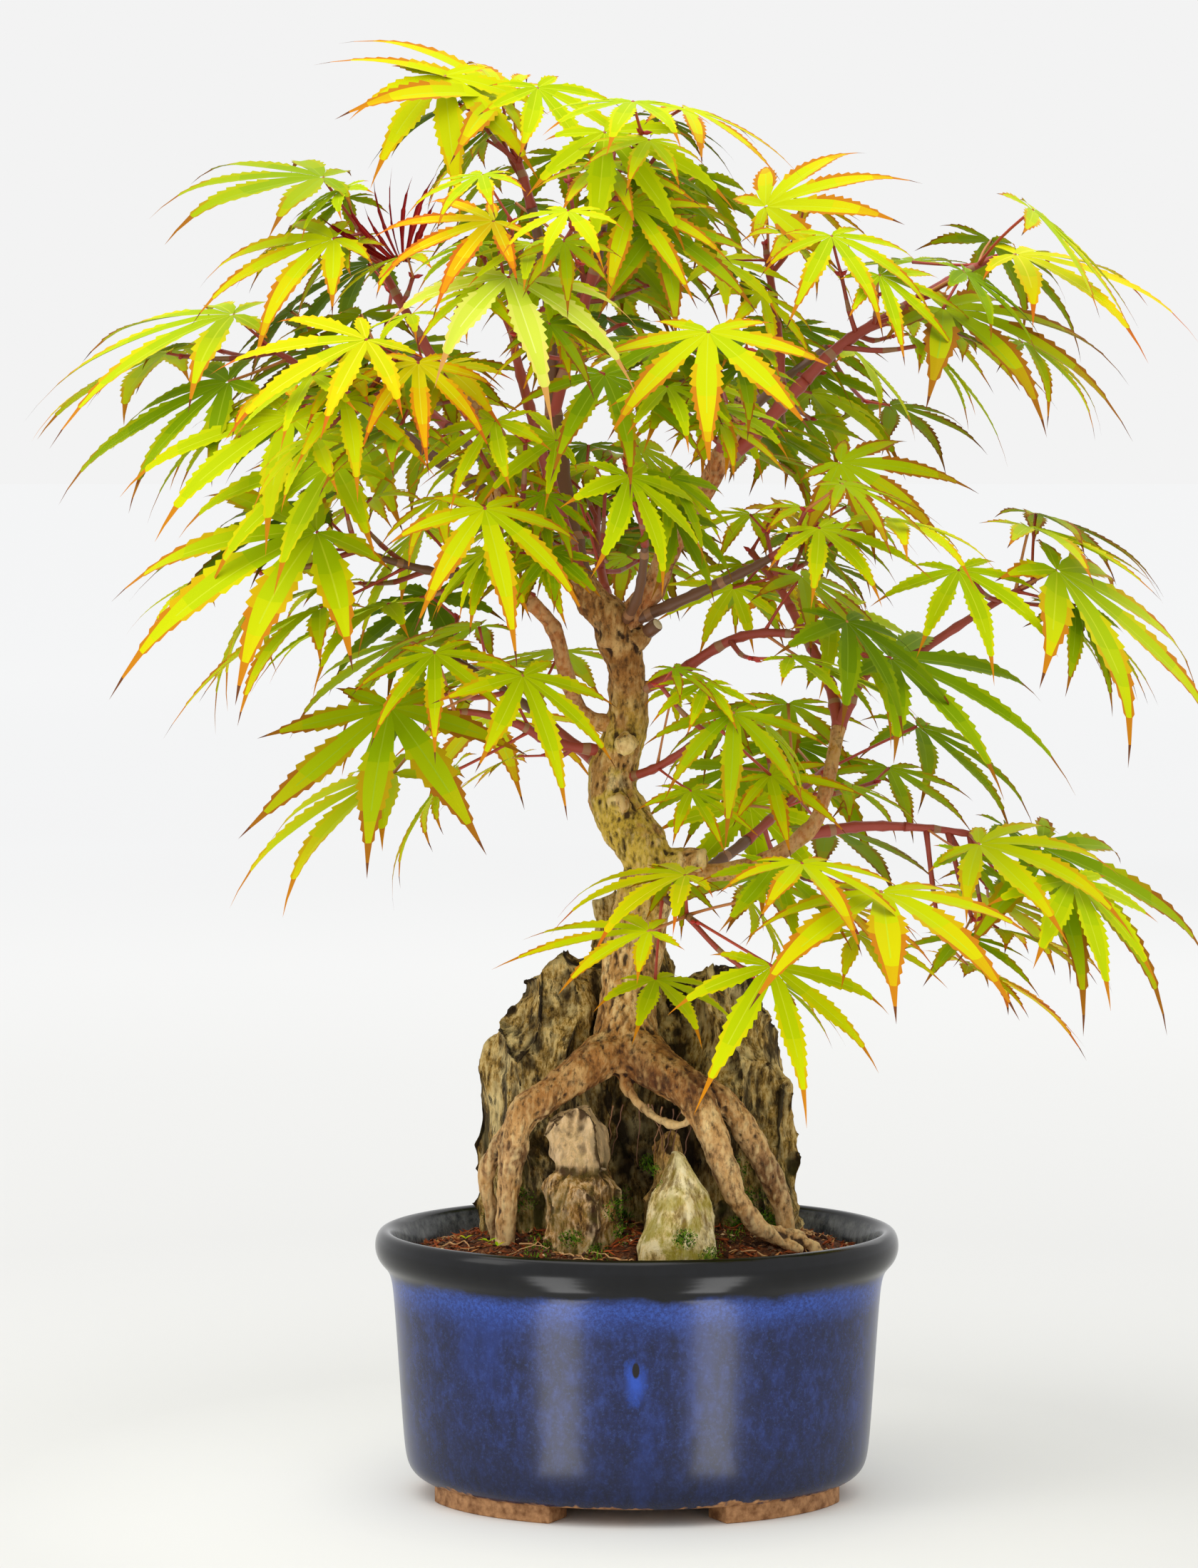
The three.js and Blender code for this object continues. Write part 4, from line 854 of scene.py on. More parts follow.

# %% [markdown]
# ## The rule that grows the foliage
# The leaves of the construction model were dealt out by a seeded rule: each mass of foliage has a
# space of its own, a stem that enters it, a few listed leaves, and pairs that the rule adds
# wherever a leaf fits. The same rule is written again here, with the same seeds, so the real leaves
# stand where the plain ones do. Then it is carried on to finer twigs inside the same spaces.

# %% Foliage masses
# Each mass: the way its limb goes to its last twig, its thickness at both ends, how many pairs the
# rule grows, how long its leaves are, and its lead leaves, if any: hub, heading round from +X,
# pitch down, turn to the front in degrees, and length
MASSES = {
  "top_left": {
    "way": [
      [-17, -4, 281.6], [-22, 0, 306], [-26, 4.4, 337], [-27, 4.6, 367], [-32, 3.6, 393], [-38, 3.8, 413],
    ],
    "thick": [6.6, 2.2], "pairs": 4, "leaf": 46,
    "leads": [[-41, -4, 426, 188, -24, 24, 54], [-38, 10, 433, 150, -16, 18, 44]],
  },
  "top_right": {
    "way": [[-25.6, 3, 330], [-19, 2.1, 355], [-12, -2.2, 378], [-10, -9.5, 398], [-11, -10, 412]],
    "thick": [4, 2], "pairs": 3, "leaf": 42,
    "leads": [
      [-13.7, -5, 424, -20, 25, 35, 40], [-10, -27.5, 414, -45, 36, 30, 40],
      [-2, -32.5, 392, -60, 32, 30, 36],
    ],
  },
  "upper_left": {
    "way": [[-42, -12, 318], [-56, -8.5, 338], [-68, -2.2, 358], [-78, 2.4, 376], [-86, 2.5, 390]],
    "thick": [4, 2], "pairs": 4, "leaf": 44,
    "leads": [[-95, -2.5, 402, 182, -3, 16, 52], [-91, -15, 383, 192, 15, 24, 47]],
  },
  "left_far": {
    "way": [[-42, -11, 305], [-62, -4.2, 318], [-84, 4.5, 334], [-102, 9.5, 345], [-114, 11.2, 352]],
    "thick": [4, 1.8], "pairs": 3, "leaf": 48,
    "leads": [[-123, 7.5, 361, 180, 7, 15, 66], [-124, 2.5, 337, 184, 20, 22, 56]],
  },
  "left_yellow": {
    "way": [[-57.2, -22, 343.4], [-64, -33.8, 346], [-71, -50, 347]],
    "thick": [3.4, 2], "pairs": 3, "leaf": 38,
    "leads": [[-79, -65, 352, 212, 20, 30, 46], [-64, -60, 349, -90, 45, 0, 34]],
  },
  "left_mid": {
    "way": [[-32, -8, 275], [-44, -12.8, 282.5], [-58, -18, 283], [-74, -26.1, 287], [-88, -32.5, 292]],
    "thick": [3.6, 1.8], "pairs": 3, "leaf": 50,
    "leads": [[-95, -42.5, 298, 208, 20, 30, 72], [-97, -17.5, 307, 178, 12, 18, 62]],
  },
  "left_low": {
    "way": [[-5.4, 3, 227.6], [-25, -3.2, 231], [-36, -9, 237], [-50, -14.2, 241], [-66, -25, 241]],
    "thick": [3.8, 1.6], "pairs": 2, "leaf": 38,
    "leads": [
      [-73.5, -40, 244, -102, 44, 0, 56], [-34, -52.5, 254, -62, 42, 0, 40],
      [-74, -7.5, 222, 186, 23, 10, 58],
    ],
  },
  "centre_front": {
    "way": [[-17.6, -5, 283], [-24, -12.8, 303], [-31, -27, 328], [-36, -45.1, 348], [-37, -65, 360]],
    "thick": [4.4, 2], "pairs": 3, "leaf": 36,
    "leads": [[-37.6, -82.5, 366.3, -72, 36, 0, 52], [-42, -70, 386, 205, 14, 30, 38]],
  },
  "centre_right": {
    "way": [[25.2, -6, 317], [26, -15.2, 330], [23, -30.3, 343], [20, -47.5, 350]],
    "thick": [4, 2], "pairs": 3, "leaf": 38,
    "leads": [[20, -65, 356, -88, 46, 0, 52]],
  },
  "centre_mid": {
    "way": [[-15, -4, 278], [-22, -17.3, 286], [-30, -37.3, 297], [-36, -57.5, 303]],
    "thick": [3.6, 2], "pairs": 3, "leaf": 34,
    "leads": [[-44.6, -75, 306, -84, 38, 0, 46], [-24, -60, 321, 206, 0, 40, 38]],
  },
  "centre_low": {
    "way": [[-5, -2, 266], [0, -17.3, 276], [2, -35, 292], [0, -52.5, 304]],
    "thick": [3.4, 1.8], "pairs": 3, "leaf": 34,
    "leads": [[-3, -67.5, 312, -62, 38, 0, 50]],
  },
  "right_upper": {
    "way": [[43.2, -5, 332], [43, 0, 350], [41, 4.7, 368], [39, 7.5, 382]],
    "thick": [3.6, 1.8], "pairs": 4, "leaf": 40,
    "leads": [[39, 5, 390, 12, -18, 30, 46], [24, -10, 378, -30, 26, 20, 42]],
  },
  "right_top_far": {
    "way": [
      [24, -6, 315], [35, -6.2, 324], [46, -5.4, 336], [61, -3.4, 351], [77, -2.3, 361], [94, 0, 371],
      [108, 2.5, 378],
    ],
    "thick": [5, 1.8], "pairs": 3, "leaf": 44,
    "leads": [
      [115, 3.8, 379, -6, 8, 14, 52], [92, -12.5, 362, -26, 22, 18, 68], [85, 20, 379, 100, -10, 20, 38],
    ],
  },
  "right_mid": {
    "way": [[-4.6, -2, 266.9], [12, -8.5, 274], [28, -15.8, 281.5], [40, -22.6, 288], [49, -30, 296]],
    "thick": [4, 1.8], "pairs": 4, "leaf": 42,
    "leads": [[60, -25, 320, -15, 20, 35, 52], [53, -47.5, 301, -45, 20, 20, 52]],
  },
  "right_far": {
    "way": [[61.2, -6, 236], [69, -6.4, 252], [82, -6.8, 257], [104, -4.8, 271], [120, -2.5, 280]],
    "thick": [4, 1.8], "pairs": 4, "leaf": 48,
    "leads": [[127, -5, 281, -22, 34, 14, 68], [84, -27.5, 290, -20, 22, 20, 60]],
  },
  "right_low_mid": {
    "way": [
      [-2.8, 1, 246], [10, -4.2, 251], [28, -11, 262.5], [43, -16.1, 265], [58, -21.6, 262],
      [70, -27.5, 258],
    ],
    "thick": [3.8, 1.6], "pairs": 2, "leaf": 42,
    "leads": [[75, -35, 257, -15, 20, 22, 60], [58, -15, 272, -20, 15, 20, 46]],
  },
  "low_mid": {
    "way": [[-6.6, 1, 219], [6, -8.7, 224], [18, -23.3, 233], [26, -37.5, 240]],
    "thick": [3, 1.6], "pairs": 2, "leaf": 28,
    "leads": [[28, -52.5, 243, -92, 36, 10, 38], [40, -22.5, 222, -30, 30, 30, 32]],
  },
  "right_low_front": {
    "way": [[38, -11.4, 196], [52, -24.8, 192], [64, -40, 190]],
    "thick": [3.6, 2], "pairs": 3, "leaf": 44,
    "leads": [[71, -57.5, 191.4, -82, 27, 0, 64]],
  },
  "right_low_far": {
    "way": [[50, -13.8, 203.8], [68, -8.7, 206], [88, -2.3, 205], [108, 0, 202]],
    "thick": [3.8, 1.8], "pairs": 4, "leaf": 46,
    "leads": [[123, -2.5, 199, -26, 36, 14, 66], [103, -17.5, 204, -38, 20, 22, 56]],
  },
  "low_front": {
    "way": [[3.2, -4, 190], [10, -20.2, 184], [17, -40, 180]],
    "thick": [3, 1.6], "pairs": 2, "leaf": 34,
    "leads": [
      [39, -60, 169, -72, 40, 0, 46], [3, -57.5, 179, 186, 4, 14, 42], [14, -40, 194, 188, 2, 12, 40],
    ],
  },
  "right_inner": {
    "way": [[61.2, -6, 236.4], [58.4, 1.1, 250], [52, 11.2, 262], [45, 26.1, 276], [36, 42.5, 288]],
    "thick": [4, 2], "pairs": 4, "leaf": 38,
  },
  "back_top": {
    "way": [[-26, 4, 342], [-22, 19.5, 356], [-16, 39.7, 370], [-12, 57.5, 384]],
    "thick": [3.8, 2], "pairs": 4, "leaf": 44,
  },
  "back_left": {
    "way": [[-42, -11.5, 312], [-50, 4.2, 320], [-62, 27, 330], [-76, 54.6, 338], [-86, 72.5, 342]],
    "thick": [3.8, 2], "pairs": 3, "leaf": 48,
  },
  "back_right": {
    "way": [[22, -6, 311], [30, 10.8, 326], [44, 35, 340], [60, 62.5, 352]],
    "thick": [3.8, 2], "pairs": 4, "leaf": 46,
  },
  "back_middle": {
    "way": [[-4.4, -1, 258], [-8, 19.5, 270], [-12, 49, 288], [-12, 77.5, 302]],
    "thick": [4, 2], "pairs": 4, "leaf": 44,
  },
  "back_low_left": {
    "way": [[-7, 1.6, 219], [-20, 17.3, 230], [-40, 42, 244], [-58, 65, 254]],
    "thick": [3.8, 1.8], "pairs": 3, "leaf": 46,
  },
  "back_low_right": {
    "way": [[20, -8, 192], [34, 13, 200], [50, 39.7, 212], [62, 65, 220]],
    "thick": [3.8, 1.8], "pairs": 3, "leaf": 44,
  },
}
FIRST_SEED = 101
for number, mass in enumerate(MASSES.values()):
    mass["seed"] = FIRST_SEED + number
    mass.setdefault("leads", [])
print(len(MASSES), "masses of foliage")

# %% Leaf shape and rule settings
# Each lobe: its direction from the leaf's own, and its length as a share of the leaf's
LOBES = ((-116, 0.38), (-75, 0.72), (-37, 0.94), (0, 1), (37, 0.94), (75, 0.72), (116, 0.38))
NOTCH, NOTCH_HIND = 0.33, 0.24
LEAF_BACK = 0.08
DROOP = 0.18
LAYERING = 1.4
SETTLE_ROUNDS = 80
SETTLE_MARGIN = 150
SETTLE_RATE = 0.02
ALLOWANCE_STEP = 600
TRIES = 60
SMALLEST = 0.6
TWIG_STEPS = 3
LIMB_STEPS = 2
SHORTEST_BOUGH = 3
FRONT = np.array([0.0, -1.0, 0.0])


def draws_from(seed):
    """Seeded draws from 0 to 1, the same as the construction model's."""
    whole = 0xFFFFFFFF
    state = seed

    def draw():
        nonlocal state
        state = (state + 0x6D2B79F5) & whole
        t = ((state ^ (state >> 15)) * (state | 1)) & whole
        t ^= (t + (t ^ (t >> 7)) * (t | 61)) & whole
        return (t ^ (t >> 14)) / 4294967296

    return draw


def unit(v):
    return v / np.linalg.norm(v)


def outline_plan():
    """Round a leaf: how far out each corner is, as a share of the length, and in which direction."""
    plan = [(LEAF_BACK, -171)]
    for i, (degrees, share) in enumerate(LOBES):
        if i > 0:
            notch = NOTCH_HIND if i in (1, len(LOBES) - 1) else NOTCH
            plan.append((notch, (degrees + LOBES[i - 1][0]) / 2))
        plan.append((share, degrees))
    plan.append((LEAF_BACK, 171))
    return np.array(plan)


OUTLINE = outline_plan()


def leaf_at(hub, heading_degrees, pitch_degrees, turn, toward, length):
    """A leaf's place, directions and outline; turn leans its face toward a direction."""
    round_, down, lean = (math.radians(a) for a in (heading_degrees, pitch_degrees, turn))
    flat = math.cos(down)
    heading = np.array([math.cos(round_) * flat, math.sin(round_) * flat, -math.sin(down)])
    normal = np.array([0, 0, math.cos(lean)]) + toward * math.sin(lean)
    normal = unit(normal - heading * normal.dot(heading))
    leaf = {"hub": np.array(hub, float), "heading": heading, "normal": normal, "length": length}
    leaf["side"] = np.cross(normal, heading)
    share, degrees = OUTLINE[:, :1], np.radians(OUTLINE[:, 1:])
    forward, aside = share * np.cos(degrees), share * np.sin(degrees)
    leaf["outline"] = leaf["hub"] + length * (
        forward * heading + aside * leaf["side"] - DROOP * share ** 2 * normal
    )
    return leaf


print("a leaf's outline has", len(OUTLINE), "corners")

# %% [markdown]
# ### Spaces
# The spaces are parted by flat planes: a point belongs to the mass whose middle is nearest, after
# an allowance for each mass. The middles and allowances start from the listed leaves and are
# nudged, round after round, until each space holds its own leaves.

# %% Settle the spaces
NAMES = list(MASSES)
held = []
for mass in MASSES.values():
    corners = [np.array(point, float)[None, :] for point in mass["way"][-2:]]
    for x, y, z, heading, pitch, turn, length in mass["leads"]:
        leaf = leaf_at((x, y, z), heading, pitch, turn, FRONT, length)
        corners += [leaf["hub"][None, :], leaf["outline"]]
    held.append(np.vstack(corners))
middles = np.array([corners.mean(0) for corners in held])
allowances = np.zeros(len(NAMES))
FLATTEN = np.array([1, 1, LAYERING])


def reach_of(point, which):
    away = (point - middles[which]) * FLATTEN
    return (away ** 2).sum(-1) - allowances[which]


for turn_round in range(SETTLE_ROUNDS):
    rate = SETTLE_RATE * (1 - turn_round / SETTLE_ROUNDS)
    for own, corners in enumerate(held):
        for point in corners:
            near = reach_of(point, own) + SETTLE_MARGIN >= reach_of(point, slice(None))
            for other in np.nonzero(near)[0]:
                if other == own or reach_of(point, own) + SETTLE_MARGIN < reach_of(point, other):
                    continue
                pull, push = point - middles[own], point - middles[other]
                middles[own] += pull * rate
                middles[other] -= push * rate
                allowances[own] += ALLOWANCE_STEP * rate
                allowances[other] -= ALLOWANCE_STEP * rate


def room_at(points, own):
    """How far inside a mass's space each point is, against the nearest of its planes."""
    points = np.atleast_2d(points)
    away = (points[:, None, :] - middles) * FLATTEN
    reach = (away ** 2).sum(-1) - allowances
    slope = 2 * np.linalg.norm((middles - middles[own]) * FLATTEN * FLATTEN, axis=1)
    slope[own] = 1
    room = (reach - reach[:, own:own + 1]) / slope
    room[:, own] = np.inf
    return room.min(1)


print("middle of the first space:", middles[0].round(1))

# %% [markdown]
# ### Ways and obstacles
# Each mass's way is cut in two where it enters its own space: a bough up to there, and the mass's
# stem inside. Leaves and twigs keep clear of the trunk, of every bough, and of the other stems, so
# all of these are listed once as short straight stretches with a radius.

# %% Cut each way and list the obstacles
stems = {}
sub_boughs = {}
for own, (name, mass) in enumerate(MASSES.items()):
    spans = len(mass["way"]) - 1
    thick_start, thick_end = mass["thick"]
    points = [
        (*point, thick_start + (thick_end - thick_start) * i / spans)
        for i, point in enumerate(mass["way"])
    ]
    way = smooth_way(points, TWIG_STEPS)
    entry = len(way) - 1
    while entry > 0 and room_at(way[entry - 1, :3], own)[0] > 2:
        entry -= 1
    entry = min(entry, len(way) - 4)
    if entry < SHORTEST_BOUGH:
        stems[name] = way
    else:
        sub_boughs[name] = way[:entry + 1]
        stems[name] = way[entry:]

stretches = []


def list_stretches(way, owner):
    for start, end in zip(way, way[1:]):
        stretches.append((start[:3], end[:3], max(start[3], end[3]) / 2, owner))


list_stretches(smooth_way(TRUNK, LIMB_STEPS), "trunk")
list_stretches(smooth_way(KNOBS[0], 1), "trunk")
for name, points in LIMBS.items():
    list_stretches(smooth_way(points, LIMB_STEPS), name)
for name, way in sub_boughs.items():
    list_stretches(way, f"bough_{name}")
for name, way in stems.items():
    list_stretches(way, name)
ROCK_CORES = ((-18.0, 128, 34), (22.0, 126, 30))
for x, top, radius in ROCK_CORES:
    stretches.append((np.array([x, 12, 80]), np.array([x, 12, top]), radius, "rock_main"))
STARTS = np.array([stretch[0] for stretch in stretches])
ENDS = np.array([stretch[1] for stretch in stretches])
RADII = np.array([stretch[2] for stretch in stretches])
OWNERS = [stretch[3] for stretch in stretches]
print(len(stretches), "stretches to keep clear of")

# %% Does a leaf fit
HUB_ROOM, EDGE_ROOM = 1.4, 0.4
MOST_FORWARD, LEAST_BELOW = 0.2, 0.05


def distances(points):
    """From each point to each stretch."""
    along = ENDS - STARTS
    offset = points[:, None, :] - STARTS
    share = np.clip((offset * along).sum(-1) / (along ** 2).sum(-1), 0, 1)
    return np.linalg.norm(offset - share[..., None] * along, axis=-1)


def side_of(a, b, c, d):
    return (np.cross(b - a, c - a) * (d - a)).sum(-1)


def pierces(a, b, corner, following, last):
    """Whether the stretch from a to b goes through the triangle."""
    through = (side_of(corner, following, last, a) > 0) != (side_of(corner, following, last, b) > 0)
    first = side_of(a, b, corner, following) > 0
    same = (first == (side_of(a, b, following, last) > 0)) & (first == (side_of(a, b, last, corner) > 0))
    return through & same


def leaf_fits(leaf, own, clearance=0.8, hub_clearance=2.0):
    """Whether a leaf stays inside its mass's space and clear of every limb."""
    outline = leaf["outline"]
    if room_at(leaf["hub"], own)[0] < HUB_ROOM or room_at(outline, own).min() < EDGE_ROOM:
        return False
    if (distances(outline) < RADII + clearance).any():
        return False
    if (distances(leaf["hub"][None, :]) < RADII + hub_clearance).any():
        return False
    following = np.roll(outline, -1, axis=0)
    a, b = STARTS[:, None, :], ENDS[:, None, :]
    return not pierces(a, b, leaf["hub"], outline[None], following[None]).any()


def stalk_fits(leaf, foot, name):
    """Whether a stalk from the foot comes from behind the leaf, off its plane, clear of limbs."""
    to_foot = unit(foot - leaf["hub"])
    if to_foot.dot(leaf["heading"]) > MOST_FORWARD or abs(to_foot.dot(leaf["normal"])) < LEAST_BELOW:
        return False
    shares = np.array([0.25, 0.5, 0.75, 1])[:, None]
    far = distances(foot + (leaf["hub"] - foot) * shares) > RADII + 1
    return bool((far | (np.array(OWNERS) == name)).all())


def crosses(leaf, other):
    """Whether two leaves, or a stalk and a leaf, go through each other."""
    for one, two in ((leaf, other), (other, leaf)):
        outline, second = one["outline"], two["outline"]
        if pierces(one["foot"], one["hub"], two["hub"], second[:-1], second[1:]).any():
            return True
        closed = second[None], np.roll(second, -1, axis=0)[None]
        following = np.roll(outline, -1, axis=0)
        if pierces(outline[:, None], following[:, None], two["hub"], *closed).any():
            return True
        if pierces(one["hub"], outline[:, None], two["hub"], *closed).any():
            return True
    return False


# %% Directions that leaves take
def directions_of(stem):
    """Along a stem, level across it, and square to both."""
    tangent = unit(stem[-1, :3] - stem[0, :3])
    level = unit(np.cross([0, 0, 1], tangent))
    return tangent, level, np.cross(tangent, level)


def outward(hub):
    """Level, and away from the trunk."""
    return unit(np.array([hub[0] + 4, hub[1], 0]))


def heading_of(direction, away, share):
    """Degrees round from +X of a direction that is turned outward by a share."""
    return math.degrees(math.atan2(direction[1] + share * away[1], direction[0] + share * away[0]))


# %% Grow the same leaves as the solids have
# How far a listed leaf may stray when it doesn't fit: to the back, up, round and down
LOOSE_DEPTH, LOOSE_HEIGHT, LOOSE_BEND, LOOSE_DIP = 14, 8, 30, 24


def grow_mass(name):
    """The leaves of a mass: the listed ones, then the pairs that the rule adds."""
    own = NAMES.index(name)
    mass = MASSES[name]
    stem = stems[name]
    random = draws_from(mass["seed"])
    last = len(stem) - 1
    leaves = []

    def place_lead(x, y, z, heading, pitch, turn, length):
        for attempt in range(TRIES):
            size = 1 - (1 - SMALLEST) * attempt / (TRIES - 1)
            loose = 0 if attempt == 0 else 1
            hub = np.array([x, y, z], float)
            hub[1] += loose * (random() - 0.5) * LOOSE_DEPTH
            hub[2] += loose * (random() - 0.5) * LOOSE_HEIGHT
            bend = loose * (random() - 0.5) * LOOSE_BEND
            dip = loose * (random() - 0.5) * LOOSE_DIP
            leaf = leaf_at(hub, heading + bend, pitch + dip, turn, FRONT, length * size)
            if not leaf_fits(leaf, own):
                continue
            for node in range(last - 1, 0, -1):
                leaf["foot"] = stem[node, :3]
                if not stalk_fits(leaf, leaf["foot"], name) or any(crosses(leaf, other) for other in leaves):
                    continue
                leaves.append(leaf)
                return

    for lead in mass["leads"]:
        place_lead(*lead)

    tangent, level, rise = directions_of(stem)
    for pair in range(mass["pairs"]):
        share = 1 - (pair + 0.35) / (mass["pairs"] + 0.2)
        foot = stem[max(1, math.floor(share * last + 0.5)), :3]
        for hand in (1, -1):
            turned = math.radians(pair * 80 + (random() - 0.5) * 60)
            out = level * hand * math.cos(turned) + rise * hand * math.sin(turned)
            for attempt in range(TRIES):
                size = 1 - (1 - SMALLEST) * attempt / (TRIES - 1)
                lean = 0.2 + 0.9 * random()
                reach = (15 + 20 * random()) * size
                direction = out + tangent * lean
                direction[2] += 0.25
                direction = unit(direction)
                hub = foot + direction * reach
                away = outward(hub)
                heading = heading_of(direction, away, 0.7)
                heading += (random() - 0.5) * 70
                pitch = 12 + 38 * random()
                turn = 5 + 21 * random()
                length = mass["leaf"] * size * (0.86 + 0.28 * random())
                leaf = leaf_at(hub, heading, pitch, turn, away, length)
                leaf["foot"] = foot
                near = any(np.linalg.norm(other["hub"] - hub) <= 0.28 * length for other in leaves)
                if near or not leaf_fits(leaf, own) or not stalk_fits(leaf, foot, name):
                    continue
                if any(crosses(leaf, other) for other in leaves):
                    continue
                leaves.append(leaf)
                break
    return leaves


grown = {name: grow_mass(name) for name in MASSES}
print("leaves of the rule:", sum(len(leaves) for leaves in grown.values()))

# %% [markdown]
# ### Carried on to finer twigs
# The rule goes on where the solids stop. Side twigs leave each stem, end in a pair of smaller
# leaves, and are kept only where the leaves stay inside the mass's own space, clear of every limb
# and inside the reach of the construction model. A skyline, and a few open spaces in front of the
# trunk, keep them out of what the photograph shows open. Where the photograph shows large leaves
# that the solids have no room for, nine more are listed and placed first, each on a twig of its own.

# %% Where finer twigs may go
REACH_MARGIN = 2
LOW_REACH = (np.array(solid_box[0]) - np.array(AXIS)) / MM - REACH_MARGIN
HIGH_REACH = (np.array(solid_box[1]) - np.array(AXIS)) / MM + REACH_MARGIN
# Across and up: the crown's upper edge
SKYLINE = (
    (-190, 370), (-150, 402), (-121, 412), (-100, 416), (-66, 438), (-40, 441), (-8, 432), (12, 424),
    (25, 414), (60, 408), (85, 400), (120, 396), (180, 350),
)
# Left, right, low and high of each open space, which goes back as far as OPEN_BACK
OPEN_BACK = 40
OPEN_SPACES = (
    (-60, -12, 120, 205), (-12, 50, 198, 222), (-14, 34, 100, 196), (-22, 2, 206, 272),
    (-134, -104, 366, 412), (-165, -135, 315, 340), (-72, -44, 242, 268), (50, 112, 216, 244),
    (52, 80, 316, 356), (108, 150, 262, 316), (112, 140, 198, 224), (112, 150, 360, 388),
)


def within_reach(points):
    if (points < LOW_REACH).any() or (points > HIGH_REACH).any():
        return False
    x, y, z = points.T
    if (z > np.interp(x, *zip(*SKYLINE))).any():
        return False
    for left, right, low, high in OPEN_SPACES:
        if ((y < OPEN_BACK) & (x > left) & (x < right) & (z > low) & (z < high)).any():
            return False
    return True


print("open spaces:", len(OPEN_SPACES))

# %% Finer twigs
FINE_TRIES = 40
FINE_CLEARANCE, FINE_HUB_CLEARANCE = 0.4, 1.2
FINE_SEED = 1000
USUAL_TWIGS = 5
TWIG_COUNTS = {
    "top_left": 9, "top_right": 9, "right_upper": 8, "right_top_far": 9, "right_far": 9, "left_far": 9,
    "left_mid": 5, "left_low": 1, "low_mid": 2, "low_front": 2, "right_low_mid": 2, "back_low_left": 2,
    "centre_front": 10, "centre_right": 10, "centre_mid": 9, "centre_low": 8, "left_yellow": 10,
    "upper_left": 8, "back_top": 10, "back_left": 9, "back_middle": 9, "back_right": 8,
    "right_inner": 8,
}
# Leaves given one by one, as in the table of masses: hub, heading, pitch, turn and length
MORE_LEAVES = {
    "top_left": [(-58, -8, 432, -84, 42, 8, 42), (-30, -14, 428, -50, 36, 14, 34)],
    "top_right": [(6, -32, 386, -76, 40, 10, 38)],
    "left_far": [(-104, -22, 330, 222, 24, 20, 52)],
    "left_mid": [(-90, -40, 316, 205, 26, 24, 50)],
    "centre_front": [(-10, -62, 342, -70, 34, 4, 44)],
    "right_top_far": [(58, -14, 384, -64, 30, 10, 38), (72, -22, 372, -30, 34, 18, 34)],
    "right_far": [(96, -22, 284, -70, 32, 12, 38)],
}


def grow_finer(name):
    """The finer twigs of a mass, each as its foot and its end, and the leaves they carry."""
    own = NAMES.index(name)
    mass = MASSES[name]
    stem = stems[name]
    leaves = list(grown[name])
    random = draws_from(mass["seed"] + FINE_SEED)
    last = len(stem) - 1
    tangent, level, rise = directions_of(stem)
    twigs, extra = [], []
    for x, y, z, heading, pitch, turn, length in MORE_LEAVES.get(name, []):
        leaf = leaf_at((x, y, z), heading, pitch, turn, FRONT, length)
        nearest = np.argmin(np.linalg.norm(stem[:, :3] - leaf["hub"], axis=1))
        foot = stem[max(1, nearest - 1), :3]
        leaf["foot"] = foot + (leaf["hub"] - foot) * 0.6
        twigs.append((foot, leaf["foot"]))
        leaves.append(leaf)
        extra.append(leaf)
    count = TWIG_COUNTS.get(name, USUAL_TWIGS)
    for twig in range(count):
        foot = stem[max(1, round((0.1 + 0.9 * (twig + random()) / count) * last)), :3]
        for _ in range(FINE_TRIES):
            turned = 2 * math.pi * random()
            out = level * math.cos(turned) + rise * math.sin(turned) + tangent * (0.1 + random())
            out[2] += 0.35
            end = foot + unit(out) * (9 + 24 * random())
            if room_at(end, own)[0] < 1.5 or (distances(end[None, :]) < RADII + 1).any():
                continue
            pair = []
            for hand in (1, -1):
                aside = unit(np.cross(unit(out), [0, 0, 1])) * hand
                direction = unit(aside * (0.5 + random()) + unit(out) * 0.8 + np.array([0, 0, 0.2]))
                hub = end + direction * (5 + 12 * random())
                away = outward(hub)
                heading = heading_of(direction, away, 0.6)
                length = mass["leaf"] * (0.62 + 0.42 * random())
                leaf = leaf_at(
                    hub, heading + (random() - 0.5) * 70, 8 + 34 * random(), 2 + 22 * random(), away, length
                )
                leaf["foot"] = end
                if any(np.linalg.norm(other["hub"] - hub) < 0.3 * length for other in leaves + pair):
                    continue
                if not within_reach(leaf["outline"]):
                    continue
                if not leaf_fits(leaf, own, FINE_CLEARANCE, FINE_HUB_CLEARANCE):
                    continue
                if not stalk_fits(leaf, end, name):
                    continue
                if any(crosses(leaf, other) for other in leaves + pair):
                    continue
                pair.append(leaf)
            if pair:
                leaves += pair
                extra += pair
                twigs.append((foot, end))
                break
    return twigs, extra


finer = {name: grow_finer(name) for name in MASSES}
print("leaves on finer twigs:", sum(len(extra) for _, extra in finer.values()))

# %% [markdown]
# ## Many small things as joined meshes
# Leaves, stalks, crumbs of soil and moss are made as points and triangles in arrays, and gathered
# in heaps. A heap becomes one mesh, with a plain colour for each triangle. Plain colours dealt out
# by leaf and by part of the leaf travel to other programs better than a pattern would.

